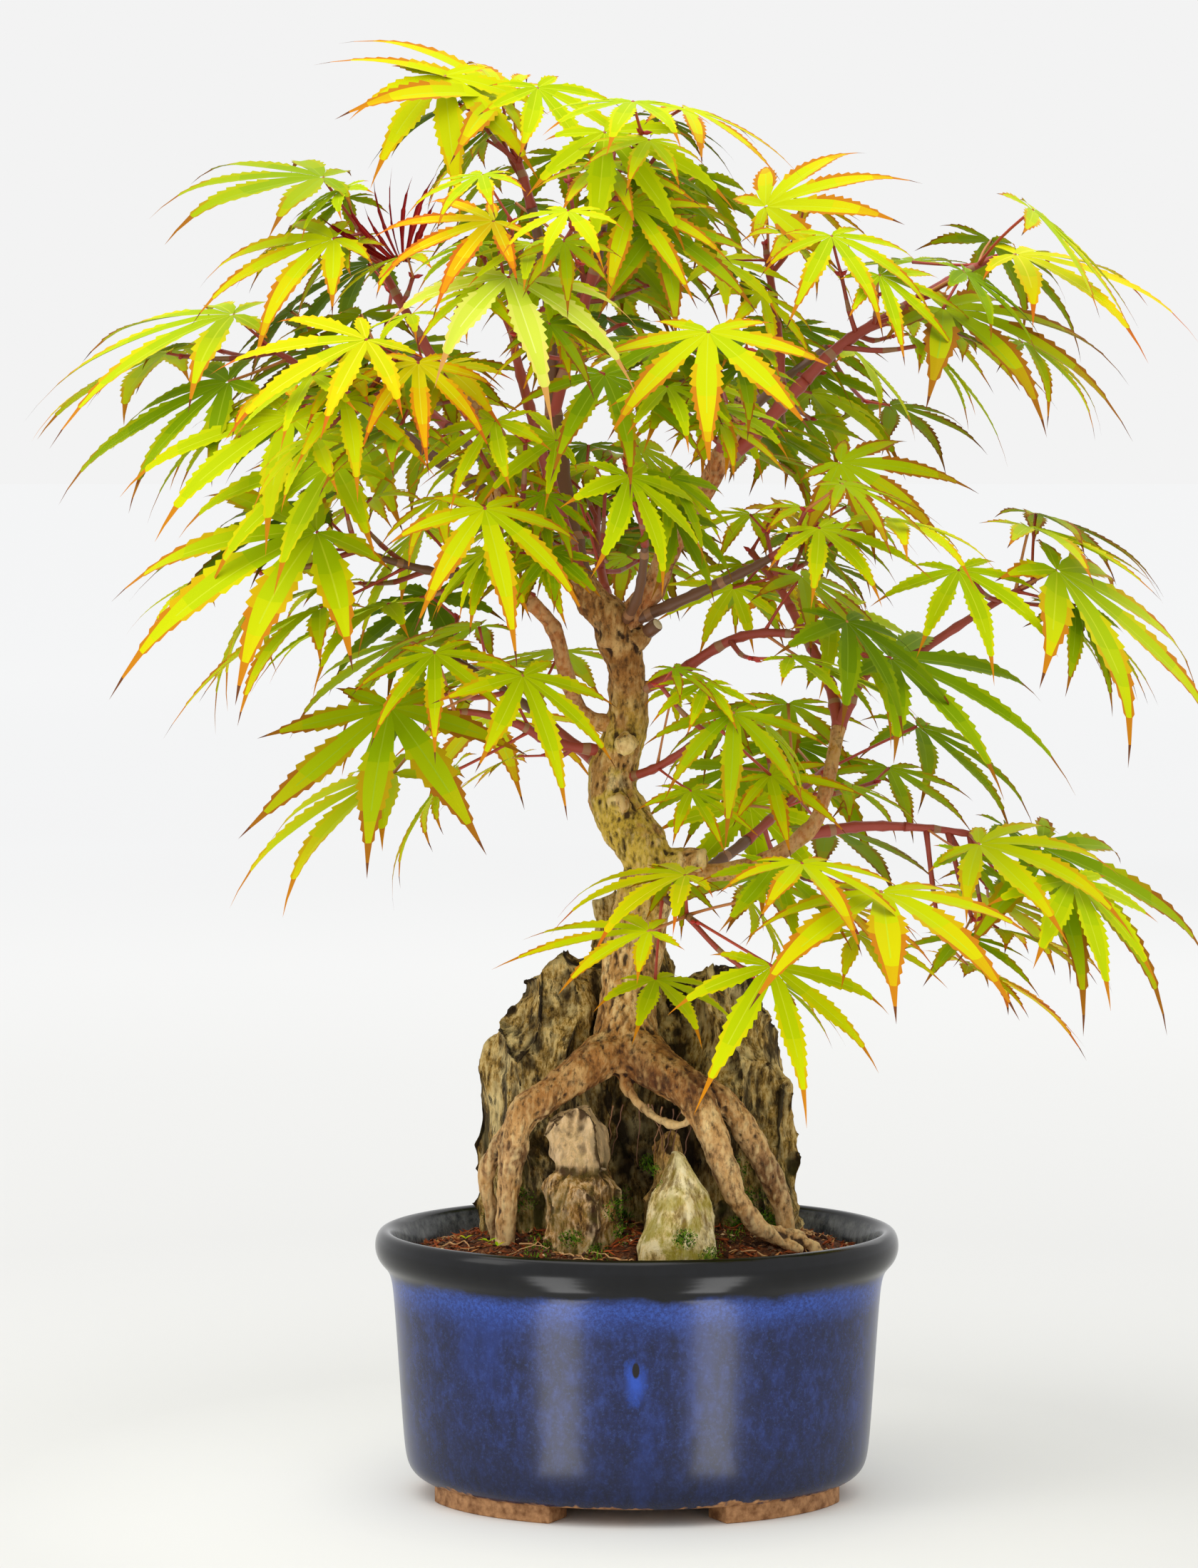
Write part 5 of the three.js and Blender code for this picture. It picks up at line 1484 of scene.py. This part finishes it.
# %% Heaps
class Heap:
    """Many small forms, gathered as points, triangles and a material number for each."""

    def __init__(self):
        self.points, self.triangles, self.slots = [], [], []
        self.count = 0

    def add(self, points, triangles, slots):
        self.points.append(np.asarray(points, float))
        self.triangles.append(np.asarray(triangles) + self.count)
        self.slots.append(np.broadcast_to(slots, len(triangles)))
        self.count += len(points)

    def tube(self, way, slots, sides=5):
        """A closed tube along x, y, z, diameter; slots is one number, or one for each stretch."""
        way = np.asarray(way, float)
        points = way[:, :3]
        tangents = np.gradient(points, axis=0)
        tangents /= np.linalg.norm(tangents, axis=1)[:, None]
        normal = np.cross(tangents[0], [0.3, 0.5, 0.8])
        turns = np.arange(sides) * 2 * math.pi / sides
        rings = []
        for point, tangent, thick in zip(points, tangents, way[:, 3]):
            normal = unit(normal - tangent * normal.dot(tangent))
            across = np.cross(tangent, normal)
            ring = np.outer(np.cos(turns), normal) + np.outer(np.sin(turns), across)
            rings.append(point + ring * thick / 2)
        stretch = np.arange(len(way) - 1)[:, None] * sides
        here, following = np.arange(sides), (np.arange(sides) + 1) % sides
        a, b = (stretch + here).ravel(), (stretch + following).ravel()
        triangles = np.concatenate([np.stack([a, b, b + sides], 1), np.stack([a, b + sides, a + sides], 1)])
        by_stretch = np.broadcast_to(slots, len(way) - 1).repeat(sides)
        start, end = len(way) * sides, len(way) * sides + 1
        far = (len(way) - 1) * sides
        caps = [(start, following[i], i) for i in range(sides)]
        caps += [(end, far + i, far + following[i]) for i in range(sides)]
        ends = by_stretch[[0] * sides + [-1] * sides]
        self.add(
            np.vstack(rings + [points[:1], points[-1:]]), np.vstack([triangles, caps]),
            np.concatenate([by_stretch, by_stretch, ends]),
        )

    def piece(self, name, materials, smooth=True):
        points, triangles = np.vstack(self.points), np.vstack(self.triangles)
        used, slots = np.unique(np.concatenate(self.slots), return_inverse=True)
        mesh = bpy.data.meshes.new(name)
        mesh.from_pydata(to_scene(points).tolist(), [], triangles.tolist())
        for slot in used:
            mesh.materials.append(materials[slot])
        mesh.polygons.foreach_set("material_index", slots.astype(np.int32))
        mesh.polygons.foreach_set("use_smooth", np.full(len(triangles), smooth))
        mesh.update()
        piece = bpy.data.objects.new(name, mesh)
        bpy.context.collection.objects.link(piece)
        return piece


# %% [markdown]
# ### A leaf
# A maple leaf is seven long lobes round one point, each with its own rib, a saw-toothed edge and a
# hair-thin tip. The lobes are joined at the palm and free beyond it. Each lobe is laid out flat,
# as rows across its rib, with one point more for each tooth. It is then folded a little along the
# rib, bent sideways and let droop, so no two leaves are quite the same.

# %% Layout of a lobe
BLADE, EDGE, RIB, TIP = range(4)
# Shares of a lobe's length: its first rows, its last ones, and its half width along the way
PALM = (0.015, 0.15, 0.30)
TAIL = 0.82
FINE_TAIL = 0.92
WIDTH_AT = (0, 0.2, 0.3, 0.4, 0.5, 0.6, 0.7, TAIL, FINE_TAIL)
HALF_WIDTHS = (0.04, 0.063, 0.078, 0.089, 0.088, 0.073, 0.05, 0.022, 0.009)
RIB_HALF = 0.0038


def lobe_layout(teeth):
    """Rows along a lobe, its triangles, and the zone and the row of each triangle."""
    rows = list(PALM) + [PALM[-1] + (TAIL - PALM[-1]) * (k + 1) / teeth for k in range(teeth)] + [FINE_TAIL]
    tip = len(rows) * 6 + 2 * teeth
    triangles, zones, shares = [], [], []

    def add(zone, share, *corners):
        for i in range(1, len(corners) - 1):
            triangles.append((corners[0], corners[i], corners[i + 1]))
            zones.append(zone)
            shares.append(share)

    for r in range(len(rows) - 1):
        a, b = r * 6, r * 6 + 6
        middle = TIP if rows[r] > TAIL - 0.01 else BLADE
        for c in (1, 2, 3):
            add(RIB if c == 2 and middle != TIP else middle, rows[r], a + c, b + c, b + c + 1, a + c + 1)
        if r < 2 or r >= 2 + teeth:
            for c in (0, 4):
                add(middle, rows[r], a + c, b + c, b + c + 1, a + c + 1)
        else:
            tooth = len(rows) * 6 + 2 * (r - 2)
            add(EDGE, rows[r], tooth, b, b + 1, a + 1, a)
            add(EDGE, rows[r], tooth + 1, a + 5, a + 4, b + 4, b + 5)
    for c in range(5):
        add(TIP, 1, (len(rows) - 1) * 6 + c, tip, (len(rows) - 1) * 6 + c + 1)
    return np.array(rows), np.array(triangles), np.array(zones), np.array(shares)


def lobe_points(rows, teeth, share, gaps, fat):
    """Flat points of a lobe: each one's part of the way to the tip, and how far across it is."""
    def half_at(part):
        return np.interp(part, WIDTH_AT, HALF_WIDTHS) * (0.35 + 0.65 * share) * fat

    sides = []
    for gap in gaps:
        sides.append(np.minimum(half_at(rows), rows * share * math.tan(gap) * 1.02))
    saw = np.where(rows >= PALM[-1], 0.9, 1)
    rib = np.minimum(RIB_HALF, 0.3 * sides[0])
    left, right = sides
    across = np.stack([-left * saw, -left * 0.66, -rib, rib, right * 0.66, right * saw], 1)
    along = np.repeat(rows[:, None], 6, 1)
    step = (TAIL - PALM[-1]) / teeth
    tooth_at = rows[2:2 + teeth] + 0.8 * step
    outer = half_at(tooth_at) * 1.05 + 0.007
    both = np.stack([
        -np.minimum(outer, tooth_at * share * math.tan(gaps[0])),
        np.minimum(outer, tooth_at * share * math.tan(gaps[1])),
    ], 1)
    part = np.concatenate([along.ravel(), tooth_at.repeat(2), [1]])
    return part, np.concatenate([across.ravel(), both.ravel(), [0]])


LAYOUTS = {teeth: lobe_layout(teeth) for teeth in (3, 4, 5, 6, 8, 9)}
LARGE_TEETH = (4, 6, 8, 9, 8, 6, 4)
SMALL_TEETH = (3, 4, 5, 6, 5, 4, 3)
HIND_GAP = math.radians(40)
print("a large leaf has", sum(len(LAYOUTS[teeth][1]) for teeth in LARGE_TEETH), "triangles")

# %% [markdown]
# ### Leaf colours
# A leaf of this tree is fresh green at its heart, yellower toward its ends, and rust brown along its
# edge and at its tips. One colour ramp for all of them would need a map on every leaf. So each
# family of leaves has seven plain colours from heart to rust, and every triangle takes the one that
# suits its place: the number rises along the lobe and at the edge, a little differently each time.

# %% Leaf colours
# Each family: seven tones from the green at a leaf's heart to the rust at its ends, then its rib
FAMILIES = {
    "lime": [
        (158, 186, 1), (170, 194, 1), (182, 200, 1), (196, 206, 2), (208, 202, 3), (208, 172, 8),
        (196, 124, 20), (196, 210, 36),
    ],
    "green": [
        (112, 144, 1), (126, 156, 1), (140, 166, 1), (156, 174, 2), (170, 174, 3), (172, 144, 8),
        (156, 98, 20), (152, 176, 30),
    ],
    # The dark family is partly the leaves' own darker green and partly painted shade
    "dark": [
        (86, 112, 1), (96, 122, 1), (108, 132, 1), (122, 140, 2), (134, 138, 3), (134, 110, 8),
        (118, 76, 18), (118, 142, 26),
    ],
    "yellow": [
        (190, 202, 3), (204, 206, 3), (218, 206, 4), (226, 194, 5), (230, 172, 8), (222, 142, 14),
        (202, 108, 24), (226, 216, 50),
    ],
    "pale": [
        (178, 202, 36), (188, 206, 48), (198, 210, 64), (208, 212, 84), (214, 204, 90),
        (212, 180, 84), (200, 148, 78), (212, 222, 110),
    ],
    "red": [
        (160, 32, 34), (152, 30, 32), (142, 26, 28), (132, 24, 26), (124, 22, 24), (118, 24, 24),
        (110, 24, 22), (176, 60, 50),
    ],
}
TONES = 7
TAIL_BROWN = (112, 66, 34)
leaf_materials, FIRST_TONE = [], {}
for family, tints in FAMILIES.items():
    FIRST_TONE[family] = len(leaf_materials)
    for tone, tint in enumerate(tints):
        leaf_materials.append(finish_of(f"{family}_{tone + 1}", linear(*tint), 0.6, Specular_IOR_Level=0.04))
leaf_materials.append(finish_of("tail_brown", linear(*TAIL_BROWN), 0.6, Specular_IOR_Level=0.04))
print(len(leaf_materials), "leaf colours")

# %% Grow a leaf
def grow_leaf(heap, leaf, family, random, teeth_of=LARGE_TEETH, fat=None, lobes=LOBES):
    """Adds a leaf's lobes to a heap, in the place that the rule gave it."""
    fat = fat or 0.86 + 0.28 * random()
    droop = DROOP * (0.7 + 0.8 * random())
    hook = 0.15 + 0.7 * random()
    fold = 0.16 + 0.22 * random()
    green, rust = 0.2 + 2.4 * random(), random()
    first = FIRST_TONE[family]
    degrees = [lobe[0] for lobe in lobes]
    for i, (angle, share) in enumerate(lobes):
        teeth = teeth_of[i]
        rows, triangles, zones, shares = LAYOUTS[teeth]
        share *= 1.0 + 0.18 * random()
        gaps = [
            math.radians(abs(degrees[i] - degrees[j]) / 2) if 0 <= j < len(degrees) else HIND_GAP
            for j in (i - 1, i + 1)
        ]
        part, across = lobe_points(rows, teeth, share, gaps, fat)
        bend, dip, twist = (random() - 0.5) * 0.16, 0.7 + 0.6 * random(), (random() - 0.5) * 0.5
        along = part * share
        lift = fold * np.abs(across) * (1 - 0.4 * part) - droop * along ** 2 * dip
        lift = lift + twist * across * part ** 2
        lift = lift - hook * share * np.maximum(0, part - 0.62) ** 2
        across = across + bend * share * part ** 2.5
        along = along - 0.35 * hook * share * np.maximum(0, part - 0.75) ** 2
        turn = math.radians(angle)
        forward = along * math.cos(turn) - across * math.sin(turn)
        aside = along * math.sin(turn) + across * math.cos(turn)
        flat = np.outer(forward, leaf["heading"]) + np.outer(aside, leaf["side"])
        points = leaf["hub"] + leaf["length"] * (flat + np.outer(lift, leaf["normal"]))
        tone = green + 0.7 * random() + (1.6 + 3.4 * rust) * shares ** 2.2
        tone = np.where(zones == EDGE, tone + 0.9 + 2.8 * rust * (0.35 + shares), tone)
        slots = first + np.clip(np.rint(tone), 0, TONES - 1).astype(int)
        slots = np.where((zones == RIB) & (shares < 0.6), first + TONES, slots)
        tail = len(leaf_materials) - 1 if rust > 0.35 and family != "red" else first + TONES - 1
        slots = np.where(zones == TIP, np.where(shares > 0.9, tail, first + TONES - 1), slots)
        heap.add(points, triangles, slots)


# %% [markdown]
# ### Twigs, stalks and buds
# Young twigs of this maple are red, older ones brown, with swollen joints where leaves stood in
# pairs. Each could be a curve with a bevel, but there are hundreds, so each one is a tube in a heap.
# A stalk is thinner: it rises from its twig and bends over into the leaf. Two pointed red buds sit
# at the end of each twig.

# %% Twig colours
TWIG_COLOURS = {
    "red_twig": (154, 58, 42), "brown_twig": (104, 66, 42), "pale_ring": (150, 104, 70),
    "red_stalk": (176, 62, 44), "orange_stalk": (190, 118, 60), "bud": (176, 34, 30),
    "cut_wood": (206, 186, 150),
}
twig_materials = [finish_of(name, linear(*colour), 0.5) for name, colour in TWIG_COLOURS.items()]
RED_TWIG, BROWN_TWIG, PALE_RING, RED_STALK, ORANGE_STALK, BUD, CUT_WOOD = range(len(TWIG_COLOURS))
print("twig colours:", list(TWIG_COLOURS))


def add_limb(heap, way, tint, sides=8, every=4):
    """A twig that swells at its joints, every third one with a pale ring."""
    rounded = smooth_way(way, 3)
    rounded[::every, 3] *= 1.2
    tints = np.full(len(rounded) - 1, tint)
    tints[every::3 * every] = PALE_RING
    heap.tube(rounded, tints, sides)


def add_stalk(heap, foot, hub, thick, tint, normal):
    """A leaf's stalk: it leaves the twig, rises, and bends over into the leaf."""
    length = np.linalg.norm(hub - foot)
    steps = np.linspace(0, 1, 7)[:, None]
    high = (foot + hub) / 2 - normal * 0.12 * length + np.array([0, 0, 0.1 * length])
    way = foot * (1 - steps) ** 2 + high * 2 * steps * (1 - steps) + hub * steps ** 2
    thicks = thick * np.array([1.7, 1.1, 1, 1, 1, 1, 1.2])
    heap.tube(np.hstack([way, thicks[:, None]]), tint, 5)


def add_buds(heap, at, out, random):
    """Two pointed buds at a twig's end, one to each side."""
    for hand in (1, -1):
        aside = unit(np.cross(out, [0.2, 0.3, 1])) * hand
        end = at + (aside * 1.5 + out) * (1.1 + 0.8 * random())
        middle = (at + end) / 2
        heap.tube([(*at, 0.9), (*middle, 1.5), (*end, 0.2)], BUD, 5)


# %% Slender boughs
slender = Heap()
for i, (name, way) in enumerate(sub_boughs.items()):
    add_limb(slender, way, RED_TWIG if i % 3 else BROWN_TWIG, 10)
slender_boughs = slender.piece("slender_boughs", twig_materials)
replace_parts(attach(slender_boughs, "root"), *[f"bough_{name}" for name in sub_boughs])
print(len(sub_boughs), "slender boughs of", len(slender_boughs.data.polygons), "faces")

# %% [markdown]
# ### The foliage put together
# Each mass becomes two pieces: its leaves, which take the place of the construction model's plain
# solid, and its twigs with their stalks and buds. Which family a leaf is of is a seeded draw, mostly
# lime in front and greener behind, apart from the few yellow and pale ones of the photograph. The
# greener and darker families behind are partly the leaves' own tones and partly painted shade.

# %% Foliage
# Masses whose first leaves have a family of their own, and how many of them
TINTED = {"left_yellow": ("yellow", 3), "centre_front": ("pale", 1)}
SLOT_OF = {"left_yellow": "leaf_yellow", "centre_front": "leaf_pale_leaf"}
# Which family a leaf is of: a draw below the number takes the family beside it
FRONT_FAMILIES = ((0.62, "lime"), (0.88, "green"), (0.94, "yellow"), (1, "dark"))
# Behind, greener and darker families: partly the leaves' own tones, partly painted shade
BACK_FAMILIES_SHADED = ((0.6, "green"), (0.85, "dark"), (1, "lime"))
SMALL_LEAF = 30
SMALL_STALK, LARGE_STALK = 0.75, 0.95
LOOKS_SEED = 2000
total = 0
for name, mass in MASSES.items():
    random = draws_from(mass["seed"] + LOOKS_SEED)
    twigs, extra = finer[name]
    blades, wood = Heap(), Heap()
    stem = stems[name]
    add_limb(wood, stem, RED_TWIG if random() < 0.7 else BROWN_TWIG)
    for foot, end in twigs:
        bow = (foot + end) / 2 + np.array([0, 0, -1.5])
        add_limb(wood, [(*foot, 1.8), (*bow, 1.5), (*end, 1.2)], RED_TWIG, 6, 3)
        add_buds(wood, end, unit(end - foot), random)
    add_buds(wood, stem[-1, :3], unit(stem[-1, :3] - stem[-2, :3]), random)
    behind = name.startswith("back")
    for i, leaf in enumerate(grown[name] + extra):
        draw = random()
        family, first_ones = TINTED.get(name, (None, 0))
        if i >= first_ones:
            families = BACK_FAMILIES_SHADED if behind else FRONT_FAMILIES
            family = next(kind for share, kind in families if draw < share)
        small = leaf["length"] < SMALL_LEAF
        grow_leaf(blades, leaf, family, random, SMALL_TEETH if small else LARGE_TEETH)
        thick = SMALL_STALK if small else LARGE_STALK
        tint = RED_STALK if random() < 0.6 else ORANGE_STALK
        add_stalk(wood, leaf["foot"], leaf["hub"], thick, tint, leaf["normal"])
    leaves = blades.piece(f"leaves_{name}", leaf_materials)
    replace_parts(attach(leaves, "root"), f"foliage_{name}")
    slot = SLOT_OF.get(name, "leaf_lime")
    twig_piece = wood.piece(f"twigs_{name}", twig_materials)
    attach(twig_piece, "root")
    total += len(leaves.data.polygons) + len(twig_piece.data.polygons)
print("foliage of", total, "triangles")

# %% [markdown]
# ## Soil
# The pot is filled to a low mound of gritty soil. Its surface starts as a merged copy of the CAD
# mound, remeshed and roughened. Chips of bark, grit and a few pale grains are then strewn over it:
# each is a small eight-cornered lump, squashed and turned at random, and dropped on the surface by
# a ray cast straight down. Pale hair-thin roots wander over the top, as they do in an old pot.

# %% Soil ground
SOIL_COLOURS = {
    "humus": (56, 30, 18), "bark_chip": (118, 60, 28), "red_chip": (150, 70, 30), "dry_chip": (178, 122, 70),
    "grit": (86, 62, 44), "pale_grain": (206, 176, 130), "hair_root": (206, 160, 108),
    "moss_deep": (52, 84, 14), "moss_light": (104, 146, 28), "moss_tip": (140, 176, 48),
}
soil_materials = [
    finish_of(name, linear(*colour), 0.9, Specular_IOR_Level=0.2)
    for name, colour in SOIL_COLOURS.items()
]
HUMUS, BARK_CHIP, RED_CHIP, DRY_CHIP, GRIT = range(5)
PALE_GRAIN, HAIR_ROOT, MOSS_DEEP, MOSS_LIGHT, MOSS_TIP = range(5, 10)
ground = copy_of("soil", "soil_ground")
roughen(
    ground, 1.3,
    ("CLOUDS", 9, 1.6, 0.5, {"noise_depth": 2}),
    ("CLOUDS", 2.4, 1.3, 0.5, {"noise_depth": 3}),
)
damp_soil = finish_of("damp_soil", roughness=0.95, Specular_IOR_Level=0.15)
r = Recipe(damp_soil)
tint = r.ramp(
    r.noise(2.2, detail=8, roughness=0.75), (0.36, linear(30, 17, 10)), (0.5, linear(74, 40, 22)),
    (0.62, linear(120, 70, 38)),
)
tint = r.mix(r.reach(r.noise(0.7, detail=3), 0.62, 0.7, 0, 0.7), tint, linear(196, 160, 112))
# Painted shade in the hollows of the ground
tint = r.mix(r.reach(r.relief(), 0.45, 0.1, 0, 0.8), tint, linear(22, 13, 8))
r.feed(Base_Color=tint)
r.bump(r.noise(0.8, detail=6, roughness=0.75), 0.6, 0.5)
dress(ground, damp_soil)
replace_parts(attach(ground, "root"), "soil")
print("soil ground of", len(ground.data.polygons), "faces")

# %% Lumps, and where they fall
LUMP = np.array([(1, 0, 0), (-1, 0, 0), (0, 1, 0), (0, -1, 0), (0, 0, 1), (0, 0, -1)], float)
LUMP_FACES = np.array([
    (0, 2, 4), (2, 1, 4), (1, 3, 4), (3, 0, 4), (2, 0, 5), (1, 2, 5), (3, 1, 5), (0, 3, 5),
])
SOIL_WIDE, SOIL_DEEP = 71.5, 55.5
bpy.context.view_layer.update()


def in_pot(turn, far):
    """A place on the soil, from a turn and a share of the way to its edge."""
    return SOIL_WIDE * far * math.cos(turn), SOIL_DEEP * far * math.sin(turn)


def drop_on(piece, x, y):
    """Height in millimetres of a piece's surface below a place, or None beside it."""
    hit, where, _, _ = piece.ray_cast(place(x, y, 400), Vector((0, 0, -1)))
    return where.z / MM if hit else None


def add_lump(heap, at, size, slot, random):
    """An eight-sided crumb, squashed, turned and pushed out of shape."""
    turn, tilt = 2 * math.pi * random(), (random() - 0.5) * 1.2
    corners = LUMP * np.array(size) * (0.75 + 0.5 * np.array([[random()] for corner in LUMP]))
    ahead, aside = math.cos(turn), math.sin(turn)
    level, up = math.cos(tilt), math.sin(tilt)
    turned = np.array([(ahead, -aside, 0), (aside, ahead, 0), (0, 0, 1)])
    tilted = np.array([(level, 0, up), (0, 1, 0), (-up, 0, level)])
    heap.add(corners @ (turned @ tilted).T + at, LUMP_FACES, slot)


# %% Crumbs
CRUMB_SEED, MOSS_SEED, ROOT_SEED = 400, 500, 600
random = draws_from(CRUMB_SEED)
crumbs = Heap()
CRUMBS = 2600
# Each kind of crumb: a draw below the number takes it, its slot, and its three half sizes
KINDS = (
    (0.30, BARK_CHIP, (1.5, 0.6, 0.35)), (0.50, RED_CHIP, (1.9, 0.45, 0.3)),
    (0.64, DRY_CHIP, (1.6, 0.4, 0.25)), (0.84, GRIT, (0.8, 0.7, 0.5)),
    (0.93, HUMUS, (1.2, 0.9, 0.6)), (1.01, PALE_GRAIN, (0.6, 0.5, 0.35)),
)
for crumb in range(CRUMBS):
    turn, far = 2 * math.pi * random(), math.sqrt(random())
    x, y = in_pot(turn, far)
    draw, size = random(), 0.6 + 0.9 * random()
    slot, shape = next((slot, shape) for share, slot, shape in KINDS if draw < share)
    z = drop_on(ground, x, y)
    if z is not None:
        add_lump(crumbs, (x, y, z + 0.25 * size), [size * side for side in shape], slot, random)
print("crumbs:", CRUMBS)

# %% Hair roots
HAIR_ROOTS = 84
ROOT_STEP = 2.1
for root in range(HAIR_ROOTS):
    turn, far = 2 * math.pi * random(), 0.35 + 0.6 * random()
    x, y = in_pot(turn, far)
    heading, way = 2 * math.pi * random(), []
    for step in range(6 + int(6 * random())):
        z = drop_on(ground, x, y)
        if z is None or (x / SOIL_WIDE) ** 2 + (y / SOIL_DEEP) ** 2 > 0.97:
            break
        way.append((x, y, z + 0.35 + 0.9 * random(), 0.5 - 0.03 * step))
        heading += (random() - 0.5) * 1.5
        x, y = x + ROOT_STEP * math.cos(heading), y + ROOT_STEP * math.sin(heading)
    if len(way) > 3:
        crumbs.tube(smooth_way(way, 2), HAIR_ROOT if random() < 0.7 else RED_CHIP, 4)
crumb_piece = crumbs.piece("soil_crumbs", soil_materials, smooth=False)
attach(crumb_piece, "root")
print("crumbs and hair roots of", len(crumb_piece.data.polygons), "faces")

# %% [markdown]
# ### Moss
# Small cushions of moss sit between the roots and in the folds of the rock. A cushion is a heap of
# tiny three-sided leaflets that stand up from a patch of ground, in three greens dealt out at
# random. Where each one stands is found by a ray from the front, so it lies on whatever is there.

# %% Moss cushions
# Across, up, and how far each cushion reaches
CUSHIONS = (
    (-36, 92, 6), (-30, 80, 5), (-6, 92, 5), (-4, 85, 4), (29, 101, 6), (34, 92, 6), (38, 86, 4.5),
    (14, 86, 4), (22, 80, 4.5), (-20, 84, 4), (4, 102, 3.5), (-44, 84, 4), (44, 84, 4),
    (-12, 79, 4.5), (30, 84, 4),
)
MOSS_GROUND = (
    "weathered_rock_main", "weathered_rock_front", "weathered_rock_middle", "weathered_stone_pale",
    "soil_ground",
)
moss_ground = [bpy.data.objects[name] for name in MOSS_GROUND]
random = draws_from(MOSS_SEED)
moss = Heap()
LEAFLETS = 190
for x, z, reach in CUSHIONS:
    for leaflet in range(LEAFLETS):
        turn, far = 2 * math.pi * random(), reach * math.sqrt(random())
        at = place(x + far * math.cos(turn), -150, z + 0.8 * far * math.sin(turn))
        nearest = None
        for piece in moss_ground:
            hit, where, normal, _ = piece.ray_cast(at, Vector((0, 1, 0)))
            if hit and (nearest is None or where.y < nearest[0].y):
                nearest = (where.copy(), normal.copy())
        if nearest is None:
            continue
        foot = (np.array(nearest[0]) - np.array(AXIS)) / MM
        stray = np.array([random() - 0.5 for axis in range(3)])
        out = unit(np.array(nearest[1]) + np.array([0, 0, 0.5]) + 0.9 * stray)
        tall = (0.9 + 1.2 * random()) * (1.15 - far / reach)
        aside = unit(np.cross(out, [random() - 0.5, random() - 0.5, random()])) * 0.32
        wide = np.cross(out, aside)
        base = foot - out * 0.4
        corners = [base + aside, base - aside / 2 + wide, base - aside / 2 - wide, foot + out * tall]
        tint = MOSS_DEEP if random() < 0.35 else MOSS_LIGHT if random() < 0.7 else MOSS_TIP
        moss.add(corners, [(0, 1, 3), (1, 2, 3), (2, 0, 3)], tint)
moss_piece = moss.piece("moss", soil_materials, smooth=False)
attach(moss_piece, "root")
print("moss of", len(moss_piece.data.polygons), "faces")

# %% [markdown]
# ### Fine roots, sprouts and cut wood
# Under the arch of the roots hangs a curtain of thin roots, and three tiny seedlings stand at the
# left of the mound. A fan of red young shoots rises on the left, each shoot a single narrow lobe,
# and two pruned stubs show pale wood.

# %% Fine roots and cut ends
random = draws_from(ROOT_SEED)
small = Heap()
HANGING = 10
for root in range(HANGING):
    share = (root + random()) / HANGING
    x, y, z = -8 + 30 * share, -15 - 9 * share, 123 - 5 * abs(share - 0.3)
    way = [(x, y, z, 0.6)]
    drift = (random() - 0.5) * 1.8
    for step in range(5 + int(5 * random())):
        x += drift + (random() - 0.5) * 1.6
        y += (random() - 0.5) * 1.4
        z += -1.4 - 1.4 * random()
        way.append((x, y, z, 0.42 - 0.03 * step))
    small.tube(smooth_way(way, 2), BROWN_TWIG if random() < 0.6 else PALE_RING, 4)
STUBS = (
    [(31.6, -7, 334, 5.4), (33.4, -7.4, 338.4, 5.1)],
    [(3, -8.4, 265, 4.4), (6, -10.6, 267.4, 4.2)],
)
for stub in STUBS:
    (x, y, z, _), (a, b, c, end) = stub
    small.tube(stub, BROWN_TWIG, 10)
    further = np.array([a - x, b - y, c - z]) * 0.08
    cut = [(a, b, c, end * 0.86), (*(np.array([a, b, c]) + further), end * 0.84)]
    small.tube(cut, CUT_WOOD, 10)
small_piece = small.piece("fine_roots_and_stubs", twig_materials)
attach(small_piece, "root")

# %% Shoots and seedlings
shoots = Heap()
FAN_FOOT = np.array([-70, -8, 374.0])
NARROW_LOBE = ((0, 1),)
for shoot in range(8):
    lean = math.radians(-58 + 13 * shoot + 6 * random())
    heading = unit(np.array([math.sin(lean) - 0.25, -0.35 + 0.5 * random(), math.cos(lean)]))
    normal = unit(np.cross(heading, [0.2, 0.1, 1]) + np.array([0, -0.6, 0]))
    normal = unit(normal - heading * normal.dot(heading))
    shoot_leaf = {"hub": FAN_FOOT + heading * 2, "heading": heading, "normal": normal}
    shoot_leaf["length"] = 19 + 9 * random()
    shoot_leaf["side"] = np.cross(normal, heading)
    grow_leaf(shoots, shoot_leaf, "red", random, (3,), 0.5, NARROW_LOBE)
SPROUTS = ((-44.9, -30, 79.4), (-42.1, -33, 78.6), (-52, -22, 79))
for x, y, z in SPROUTS:
    for hand in (0, 180, 90):
        turn = math.radians(hand + 40 * random())
        heading = unit(np.array([math.cos(turn), math.sin(turn), 0.5]))
        side = unit(np.cross([0, 0, 1], heading))
        sprout = {"hub": np.array([x, y, z + 3.0]), "heading": heading, "side": side, "length": 3.4}
        sprout["normal"] = np.cross(heading, side)
        grow_leaf(shoots, sprout, "green", random, (3,), 1.6, NARROW_LOBE)
shoot_piece = shoots.piece("young_shoots", leaf_materials)
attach(shoot_piece, "root")
print("shoots of", len(shoot_piece.data.polygons), "faces")
